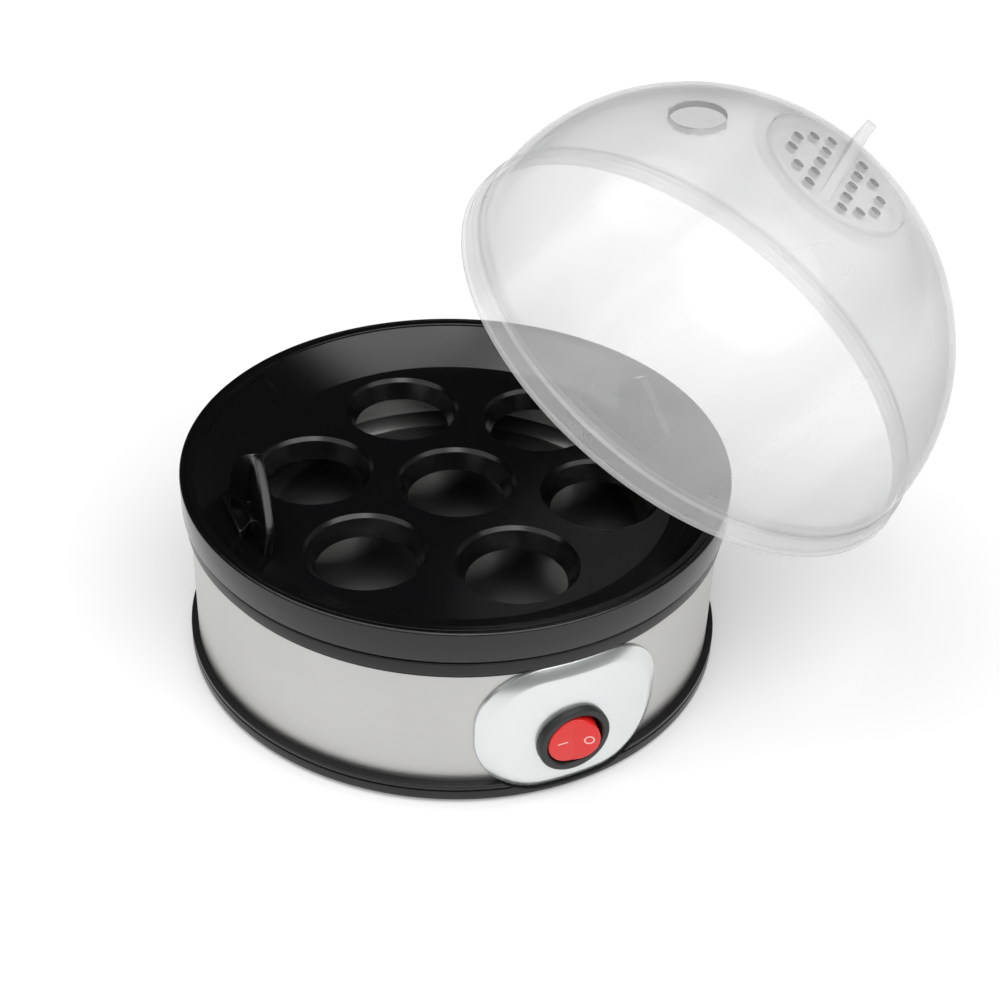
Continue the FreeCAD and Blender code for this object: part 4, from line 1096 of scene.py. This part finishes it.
def make_egg_tray(body, tray):
    """Make the tray: its dish, seven open seats, two grip fins with scoops and two finger recesses."""
    dish = make_dish(body, tray)
    top = tray.floor_top
    low = top - tray.seat_drop
    hole = tray.seat_hole
    mouth = tray.seat_mouth
    wall = tray.seat_wall
    inside = hole - ROOT
    under = top - ROOT / 2
    cup_round, hole_round, throat_round, mouth_round = 0.5 * MM, 0.4 * MM, 0.8 * MM, 0.3 * MM
    mouth_flare = 0.35 * MM
    cup = turned("cup", [(inside, low), (hole + wall, low, cup_round), (mouth + wall, top - tray.seat_bevel),
                         (mouth + wall, under), (inside, under)], SMALL_SEGMENTS * 2)
    cut(dish, at_seats(cup, tray), "UNION")
    seat = turned("seat", [(0, low - OVERRUN), (hole, low - OVERRUN), (hole, low, hole_round),
                           (tray.seat_throat, top - tray.seat_bevel, throat_round),
                           (mouth, top, mouth_round), (mouth + mouth_flare, top + OVERRUN),
                           (0, top + OVERRUN)], SMALL_SEGMENTS * 2)
    cut(dish, at_seats(seat, tray))
    above = tray.rim_top + OVERRUN
    foot, reach = tray.finger_foot, tray.finger_reach
    recess_round = 0.2 * MM
    recess = turned("recess", [(foot, slope_height(tray, foot) - tray.finger_sink, recess_round),
                               (reach, slope_height(tray, reach) - tray.finger_sink, recess_round),
                               (reach, above), (foot, above)], SMALL_SEGMENTS, tray.finger_turn,
                    -tray.finger_turn / 2)
    cut(dish, around(recess, FIN_COUNT, tray.fin_turn - tray.finger_shift))
    cut(dish, around(make_scoop(tray), FIN_COUNT, tray.fin_turn), "UNION")
    cut(dish, around(make_fin(tray), FIN_COUNT, tray.fin_turn), "UNION")
    finish_piece(dish, "tray", "tray_plastic", "tray black", "egg_tray", sharp=30)


# The lid

def dome_point(lid, inset, angle):
    """Return the radius and height of the dome's curve at an angle, set in from the outer face."""
    return ((lid.dome_radius - inset) * math.cos(angle),
            lid.skirt_height + (lid.dome_height - inset) * math.sin(angle))


def dome_line(lid, inset, radius, steps=60):
    """Return the dome's curve from its foot up to a radius."""
    end = math.acos(radius / (lid.dome_radius - inset))
    return [dome_point(lid, inset, end * step / steps) for step in range(steps + 1)]


def vent_seat(lid):
    """Return the height of the ledge that carries the vent cap."""
    return dome_line(lid, 0, lid.vent_opening)[-1][1] - lid.vent_sink - lid.vent_wall


def make_lid_dome(lid):
    """Make the clear lid: flange, skirt, dome, ledge for the vent cap and steam hole."""
    seat = vent_seat(lid)
    thick = lid.vent_opening + lid.vent_slant
    ledge = lid.vent_opening - lid.vent_ledge
    inner = lid.skirt_radius - lid.wall
    corners = dome_line(lid, 0, lid.vent_opening)
    corners += [(lid.vent_opening, seat), (ledge, seat), (ledge, seat - lid.vent_wall),
                (thick - lid.vent_slant / 2, seat - lid.vent_wall)]
    corners += reversed(dome_line(lid, lid.wall, thick))
    flange_round, skirt_round = 0.5 * MM, 0.6 * MM
    corners += [(inner, lid.skirt_height - lid.wall), (inner, 0), (lid.radius, 0, flange_round),
                (lid.radius, lid.flange, flange_round), (lid.skirt_radius, lid.flange),
                (lid.skirt_radius, lid.skirt_height, skirt_round)]
    dome = turned("lid_dome_clear", corners, SEGMENTS + SMALL_SEGMENTS)
    angle = math.acos(lid.steam_circle / lid.dome_radius)
    radius, height = dome_point(lid, 0, angle)
    slope = math.atan2(radius / lid.dome_radius ** 2, (height - lid.skirt_height) / lid.dome_height ** 2)
    reach = lid.wall * 3
    hole = upright("steam", lid.steam_radius, -reach, reach, segments=SMALL_SEGMENTS * 2)
    place = (turn_about_z(lid.steam_turn) @ Matrix.Translation((radius, 0, height))
             @ Matrix.Rotation(slope, 4, "Y"))
    cut(dome, placed(hole, place))
    to_hole = place.inverted()
    # The steam hole's wall and the step above the skirt get painted shade.
    near_hole, near_step = lid.steam_radius * 1.03, lid.wall * 1.2
    hole_shade, step_shade = 0.8, 0.3

    def shade_of(centre, _):
        """Return how much painted shade a face of the steam hole or of the step above the skirt gets."""
        in_hole = (to_hole @ centre).xy.length < near_hole and (to_hole @ centre).z > -reach
        in_step = abs(centre.z - lid.skirt_height) < near_step
        return hole_shade * in_hole + step_shade * in_step

    mark_painted_shade(dome, shade_of)
    held_open(dome)
    finish_piece(dome, "lid", "clear_lid", "clear", "lid_dome")


def vent_hole_places(lid):
    """Return where the vent cap's holes are: two rows beside the grip and two arcs outside them."""
    places = []
    for side in (-1, 1):
        for index in range(lid.row_count):
            along = (index - (lid.row_count - 1) / 2) * lid.row_pitch
            places.append((along, side * lid.row_offset))
        for index in range(lid.arc_count):
            angle = math.pi / 2 + (index - (lid.arc_count - 1) / 2) * lid.arc_step
            places.append((lid.arc_radius * math.cos(angle), side * lid.arc_radius * math.sin(angle)))
    return places


def make_vent_cap(lid):
    """Make the vent cap: a disc with two fields of holes and an upright grip across it."""
    seat = vent_seat(lid)
    top = seat + lid.vent_wall
    edge = lid.vent_opening - SLIP
    low_round, top_round = 0.3 * MM, 0.4 * MM
    cap = turned("vent_cap_disc", [(0, seat), (edge, seat, low_round), (edge, top, top_round), (0, top)])
    holes = [upright("hole", lid.hole_radius, seat - OVERRUN, top + OVERRUN, x, y, SMALL_SEGMENTS // 2)
             for x, y in vent_hole_places(lid)]
    cut(cap, combined(holes))
    shares = [(-0.4, 0.1), (-0.2, 0.32), (0, 0.52), (0.2, 0.72), (0.36, 0.92), (0.41, 1), (0.45, 0.97),
              (0.47, 0.7), (0.482, 0.3), (0.49, 0)]
    foot = top - lid.vent_wall / 2
    rise = lid.grip_rise + lid.vent_wall / 2
    line = flowing([Vector((-0.49, 0)), *[Vector(share) for share in shares]])
    places = [(point.x * lid.grip_length, -lid.grip_wall / 2, foot + point.y * rise) for point in line]
    grip = extruded("grip", places, (0, lid.grip_wall, 0))
    bevel(grip, lid.grip_round, 4)
    cut(cap, grip, "UNION")
    # The walls of the cap's holes get painted shade, so that they show dark.
    middles = [Vector(place) for place in vent_hole_places(lid)]
    near_hole, steep = lid.hole_radius * 1.05, 0.5

    def shade_of(centre, normal):
        """Return 1 on the walls of the cap's holes, which get painted shade, and 0 elsewhere."""
        in_hole = any((centre.xy - middle).length < near_hole for middle in middles)
        return float(in_hole and abs(normal.z) < steep)

    mark_painted_shade(cap, shade_of)
    held_open(placed(cap, turn_about_z(lid.grip_turn)))
    finish_piece(cap, "lid", "clear_lid", "clear", "vent_cap")


# Finishes

def make_finishes(colours, panel):
    """Make every material of the object."""
    moulded("tray black", colours.tray_black, 0.15)
    moulded("body black", colours.body_black, 0.3, gloss=0.32)
    moulded("bezel black", colours.bezel_black, 0.42, gloss=0.35)
    moulded("rubber", colours.rubber, 0.7)
    moulded("seal", colours.seal, 0.6)
    moulded("white block", colours.white, 0.45)
    moulded("brown sleeve", colours.brown, 0.5)
    moulded("blue sleeve", colours.blue, 0.5)
    moulded("green sleeve", colours.green, 0.5)
    brushed_steel("brushed steel", colours.steel)
    dish_steel("pan steel", colours.steel)
    bare_metal("zinc", colours.zinc, 0.34)
    bare_metal("casting", colours.casting, 0.5, scale=250.0)
    bare_metal("brass", colours.brass, 0.3)
    silver_lacquer("silver", colours.silver)
    red_rocker("rocker red", colours.red, colours.mark, panel)
    clear_plastic("clear", colours.clear, 0.26)


INNER_FINISHES = {
    "base_screws": "zinc", "plate_gasket": "seal", "heating_plate": "pan steel",
    "heating_element": "casting", "element_pins": "zinc", "clamp_bracket": "zinc",
    "plate_nuts": "zinc", "thermostat": "bezel black", "heat_tabs": "brass",
    "thermal_fuse": "white block", "live_wires": "brown sleeve", "neutral_wire": "blue sleeve",
    "earth_wire": "green sleeve", "terminal_block": "white block", "terminal_screws": "brass",
    "panel_clips": "zinc", "switch_tabs": "brass",
}


def paint_inner_parts():
    """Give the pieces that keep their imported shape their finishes."""
    for node, material in INNER_FINISHES.items():
        for place in frame["nodes"][node].material_slots:
            place.link = "OBJECT"
            place.material = bpy.data.materials[material]


# The stage

def add_lamp(name, towards, spread, power):
    """Add a far soft lamp in a direction."""
    bpy.ops.object.light_add(type="SUN")
    lamp = bpy.context.object
    lamp.name = name
    lamp.data.angle = math.radians(spread)
    lamp.data.energy = power
    lamp.rotation_euler = Vector(towards).to_track_quat("Z", "Y").to_euler()


def make_floor(colours):
    """Make the pale floor that the object stands on."""
    bpy.ops.mesh.primitive_plane_add(size=6)
    floor = bpy.context.object
    floor.name = "floor"
    finish = Finish("floor")
    cloud = finish.noise(finish.place(), 3.0)
    seen = 0.0
    for ray, level in (("Is Camera Ray", 0.15), ("Is Glossy Ray", 0.2), ("Is Transmission Ray", 0.15)):
        seen = finish.node("ShaderNodeLightPath", output=ray) * level + seen
    finish.set(Base_Color=finish.shade(colours.floor, cloud, 0.01), Roughness=0.6,
               Emission_Color=seen, Emission_Strength=1.0)
    floor.data.materials.append(finish.material)


def light_world():
    """Light the scene from low down and from the right, and show a white backdrop to the camera."""
    world = bpy.data.worlds.new("Room")
    bpy.context.scene.world = world
    world.use_nodes = True
    nodes, links = world.node_tree.nodes, world.node_tree.links
    room = nodes["Background"]
    direction = nodes.new("ShaderNodeTexCoord")
    slant = nodes.new("ShaderNodeVectorMath")
    slant.operation = "DOT_PRODUCT"
    slant.inputs[1].default_value = (0.35, -0.1, -0.9)
    level = nodes.new("ShaderNodeMapRange")
    level.inputs["From Min"].default_value = -0.45
    level.inputs["From Max"].default_value = 0.25
    level.inputs["To Min"].default_value = 0.1
    level.inputs["To Max"].default_value = 0.85
    links.new(direction.outputs["Generated"], slant.inputs[0])
    links.new(slant.outputs["Value"], level.inputs["Value"])
    links.new(level.outputs["Result"], room.inputs["Strength"])
    white = nodes.new("ShaderNodeBackground")
    white.inputs["Strength"].default_value = 1
    path = nodes.new("ShaderNodeLightPath")
    mix = nodes.new("ShaderNodeMixShader")
    links.new(path.outputs["Is Camera Ray"], mix.inputs[0])
    links.new(room.outputs[0], mix.inputs[1])
    links.new(white.outputs[0], mix.inputs[2])
    links.new(mix.outputs[0], nodes["World Output"].inputs[0])


def place_camera(settings):
    """Put the camera where the photograph was taken from."""
    azimuth, elevation = settings.azimuth, settings.elevation
    back = Vector((math.sin(azimuth) * math.cos(elevation), -math.cos(azimuth) * math.cos(elevation),
                   math.sin(elevation)))
    aim = Vector((settings.aim_x, settings.aim_y, settings.aim_z))
    bpy.ops.object.camera_add()
    camera = bpy.context.object
    camera.name = "camera"
    turned_back = back.to_track_quat("Z", "Y").to_matrix().to_4x4() @ Matrix.Rotation(settings.roll, 4, "Z")
    camera.matrix_world = Matrix.Translation(aim + back * settings.distance) @ turned_back
    camera.data.lens = settings.lens
    camera.data.sensor_width = 36
    camera.data.clip_start = 0.01
    bpy.context.scene.camera = camera


def make_stage(colours, settings):
    """Set up the camera, the lamps, the floor and the backdrop."""
    place_camera(settings)
    make_floor(colours)
    light_world()
    add_lamp("key", (0.2, -0.7, 1.1), 60, 2.1)
    add_lamp("side", (-0.7, -0.3, 0.9), 70, 1.0)
    add_lamp("back", (-0.2, 0.4, 1.2), 40, 0.8)
    bpy.context.scene.view_settings.view_transform = "Standard"


# Operators and panel

class EggOperator:
    """What every operator of the egg boiler shares."""
    bl_options = {"REGISTER", "UNDO"}


class EGG_OT_finishes(EggOperator, bpy.types.Operator):
    """Make every material of the egg boiler"""
    bl_idname = "egg_boiler.finishes"
    bl_label = "Finishes"

    def execute(self, context):
        make_finishes(context.scene.boiler_colours, context.scene.panel_sizes)
        return {"FINISHED"}


class EGG_OT_inner_parts(EggOperator, bpy.types.Operator):
    """Give the inner pieces their finishes"""
    bl_idname = "egg_boiler.inner_parts"
    bl_label = "Inner parts"

    def execute(self, context):
        paint_inner_parts()
        return {"FINISHED"}


class EGG_OT_bottom_shell(EggOperator, bpy.types.Operator):
    """Make the black bottom ring with its floor, slots and recesses"""
    bl_idname = "egg_boiler.bottom_shell"
    bl_label = "Bottom shell"

    def execute(self, context):
        make_bottom_shell(context.scene.body_sizes, context.scene.panel_sizes)
        return {"FINISHED"}


class EGG_OT_rubber_feet(EggOperator, bpy.types.Operator):
    """Make the four rubber feet"""
    bl_idname = "egg_boiler.rubber_feet"
    bl_label = "Rubber feet"

    def execute(self, context):
        make_rubber_feet(context.scene.body_sizes)
        return {"FINISHED"}


class EGG_OT_steel_band(EggOperator, bpy.types.Operator):
    """Make the brushed steel band"""
    bl_idname = "egg_boiler.steel_band"
    bl_label = "Steel band"

    def execute(self, context):
        make_steel_band(context.scene.body_sizes, context.scene.panel_sizes)
        return {"FINISHED"}


class EGG_OT_top_collar(EggOperator, bpy.types.Operator):
    """Make the collar on top of the steel band"""
    bl_idname = "egg_boiler.top_collar"
    bl_label = "Top collar"

    def execute(self, context):
        make_top_collar(context.scene.body_sizes, context.scene.panel_sizes)
        return {"FINISHED"}


class EGG_OT_control_panel(EggOperator, bpy.types.Operator):
    """Make the silver front panel"""
    bl_idname = "egg_boiler.control_panel"
    bl_label = "Control panel"

    def execute(self, context):
        make_control_panel(context.scene.panel_sizes)
        return {"FINISHED"}


class EGG_OT_switch(EggOperator, bpy.types.Operator):
    """Make the rocker switch: its housing and its red rocker"""
    bl_idname = "egg_boiler.switch"
    bl_label = "Switch"

    def execute(self, context):
        make_switch_housing(context.scene.body_sizes, context.scene.panel_sizes)
        make_switch_rocker(context.scene.panel_sizes)
        return {"FINISHED"}


class EGG_OT_cord_bush(EggOperator, bpy.types.Operator):
    """Make the cord inlet at the back"""
    bl_idname = "egg_boiler.cord_bush"
    bl_label = "Cord inlet"

    def execute(self, context):
        make_cord_bush(context.scene.body_sizes, context.scene.panel_sizes)
        return {"FINISHED"}


class EGG_OT_egg_tray(EggOperator, bpy.types.Operator):
    """Make the tray with its seats and grip fins"""
    bl_idname = "egg_boiler.egg_tray"
    bl_label = "Egg tray"

    def execute(self, context):
        make_egg_tray(context.scene.body_sizes, context.scene.tray_sizes)
        return {"FINISHED"}


class EGG_OT_lid(EggOperator, bpy.types.Operator):
    """Make the clear lid and its vent cap"""
    bl_idname = "egg_boiler.lid"
    bl_label = "Lid"

    def execute(self, context):
        make_lid_dome(context.scene.lid_sizes)
        make_vent_cap(context.scene.lid_sizes)
        return {"FINISHED"}


class EGG_OT_stage(EggOperator, bpy.types.Operator):
    """Set up the camera, the lamps and the floor"""
    bl_idname = "egg_boiler.stage"
    bl_label = "Stage"

    def execute(self, context):
        make_stage(context.scene.boiler_colours, context.scene.stage_settings)
        return {"FINISHED"}


OPERATORS = (EGG_OT_finishes, EGG_OT_inner_parts, EGG_OT_bottom_shell, EGG_OT_rubber_feet,
             EGG_OT_steel_band, EGG_OT_top_collar, EGG_OT_control_panel, EGG_OT_switch,
             EGG_OT_cord_bush, EGG_OT_egg_tray, EGG_OT_lid, EGG_OT_stage)
SETTINGS = {"body_sizes": BodySizes, "tray_sizes": TraySizes, "lid_sizes": LidSizes,
            "panel_sizes": PanelSizes, "boiler_colours": BoilerColours, "stage_settings": StageSettings}


class EGG_PT_boiler(bpy.types.Panel):
    """Buttons that make the egg boiler, and its sizes and colours"""
    bl_idname = "EGG_PT_boiler"
    bl_label = "Egg Boiler"
    bl_space_type = "VIEW_3D"
    bl_region_type = "UI"
    bl_category = "Egg Boiler"

    def draw(self, context):
        for operator in OPERATORS:
            self.layout.operator(operator.bl_idname)
        for name, settings in SETTINGS.items():
            box = self.layout.box()
            box.label(text=name.replace("_", " ").capitalize())
            for setting in settings.__annotations__:
                box.prop(getattr(context.scene, name), setting)


def register():
    """Add the settings, the operators and the panel to Blender."""
    for settings in SETTINGS.values():
        bpy.utils.register_class(settings)
    for name, settings in SETTINGS.items():
        setattr(bpy.types.Scene, name, bpy.props.PointerProperty(type=settings))
    for operator in OPERATORS:
        bpy.utils.register_class(operator)
    bpy.utils.register_class(EGG_PT_boiler)


def unregister():
    """Take the panel, the operators and the settings out again."""
    bpy.utils.unregister_class(EGG_PT_boiler)
    for operator in reversed(OPERATORS):
        bpy.utils.unregister_class(operator)
    for name, settings in reversed(SETTINGS.items()):
        delattr(bpy.types.Scene, name)
        bpy.utils.unregister_class(settings)


def main():
    """Build the egg boiler with its operators."""
    register()
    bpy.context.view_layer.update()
    bpy.ops.egg_boiler.finishes()
    bpy.ops.egg_boiler.inner_parts()
    bpy.ops.egg_boiler.bottom_shell()
    bpy.ops.egg_boiler.rubber_feet()
    bpy.ops.egg_boiler.steel_band()
    bpy.ops.egg_boiler.top_collar()
    bpy.ops.egg_boiler.control_panel()
    bpy.ops.egg_boiler.switch()
    bpy.ops.egg_boiler.cord_bush()
    bpy.ops.egg_boiler.egg_tray()
    bpy.ops.egg_boiler.lid()
    bpy.ops.egg_boiler.stage()


if __name__ == "__main__":
    main()
